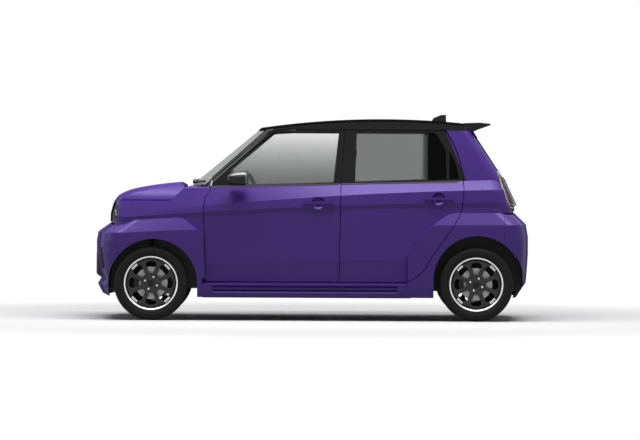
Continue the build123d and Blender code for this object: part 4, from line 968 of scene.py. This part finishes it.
world = bpy.data.worlds.new("world")
bpy.context.scene.world = world
world.use_nodes = True
wt = world.node_tree
plain = wt.nodes["Background"]
plain.inputs["Color"].default_value = (0.93, 0.95, 1.0, 1)
plain.inputs["Strength"].default_value = 0.11
white = wt.nodes.new("ShaderNodeBackground")
white.inputs["Color"].default_value = (1, 1, 1, 1)
white.inputs["Strength"].default_value = 1.0
path = wt.nodes.new("ShaderNodeLightPath")
shown = path.outputs["Is Camera Ray"]
for kind in ("Is Transmission Ray", "Is Glossy Ray"):
    either_ray = wt.nodes.new("ShaderNodeMath")
    either_ray.operation = "MAXIMUM"
    wt.links.new(shown, either_ray.inputs[0])
    wt.links.new(path.outputs[kind], either_ray.inputs[1])
    shown = either_ray.outputs[0]
mix = wt.nodes.new("ShaderNodeMixShader")
wt.links.new(shown, mix.inputs[0])
wt.links.new(plain.outputs[0], mix.inputs[1])
wt.links.new(white.outputs[0], mix.inputs[2])
wt.links.new(mix.outputs[0], wt.nodes["World Output"].inputs[0])

floor_shader = Shader("studio_floor", srgb(250, 250, 250), Roughness=0.9, Specular_IOR_Level=0.1)
geo = floor_shader.node("ShaderNodeNewGeometry")
dist = floor_shader.node("ShaderNodeVectorMath", operation="LENGTH")
floor_shader.link(geo.outputs["Position"], dist.inputs[0])
far = floor_shader.node("ShaderNodeMapRange")
far.inputs["From Min"].default_value = 2.2
far.inputs["From Max"].default_value = 4.2
floor_shader.link(dist.outputs["Value"], far.inputs["Value"])
glow = floor_shader.node("ShaderNodeEmission")
glow.inputs["Color"].default_value = (1, 1, 1, 1)
rays = floor_shader.node("ShaderNodeLightPath").outputs
shown = either(floor_shader, rays["Is Camera Ray"], rays["Is Glossy Ray"])
shown = either(floor_shader, shown, rays["Is Transmission Ray"])
tone = floor_shader.node("ShaderNodeMix", data_type="RGBA")
dim, bright = [i for i in tone.inputs if i.type == "RGBA"]
dim.default_value, bright.default_value = srgb(120, 120, 122), srgb(250, 250, 250)
floor_shader.link(shown, tone.inputs[0])
floor_shader.link([o for o in tone.outputs if o.type == "RGBA"][0], floor_shader.base.inputs["Base Color"])
fade = floor_shader.math("MULTIPLY", far.outputs["Result"], shown)
blend = floor_shader.node("ShaderNodeMixShader")
floor_shader.link(fade, blend.inputs[0])
floor_shader.link(floor_shader.base.outputs[0], blend.inputs[1])
floor_shader.link(glow.outputs[0], blend.inputs[2])
floor_shader.link(blend.outputs[0], floor_shader.out.inputs[0])
me = bpy.data.meshes.new("floor")
me.from_pydata([(-60, -60, 0), (60, -60, 0), (60, 60, 0), (-60, 60, 0)], [], [(0, 1, 2, 3)])
me.materials.append(floor_shader.mat)
floor = bpy.data.objects.new("floor", me)
bpy.context.scene.collection.objects.link(floor)


def lamp(name, where, size, energy, aim=(0, 0, 0.7)):
    data = bpy.data.lights.new(name, "AREA")
    data.shape, data.size, data.size_y, data.energy = "RECTANGLE", size[0], size[1], energy
    ob = bpy.data.objects.new(name, data)
    ob.location = where
    ob.rotation_euler = (Vector(aim) - Vector(where)).to_track_quat("-Z", "Y").to_euler()
    bpy.context.scene.collection.objects.link(ob)


lamp("key_above", (0, 0.2, 4.4), (7.0, 3.0), 110, (0, 0.2, 0))
lamp("key_strip", (0, -1.75, 4.5), (7.0, 1.1), 190, (0, -0.9, 0.7))
lamp("fill_back", (1.5, 7.0, 3.0), (7.0, 2.5), 40)
lamp("front_edge", (-6.5, -1.5, 1.6), (2.0, 1.6), 14)
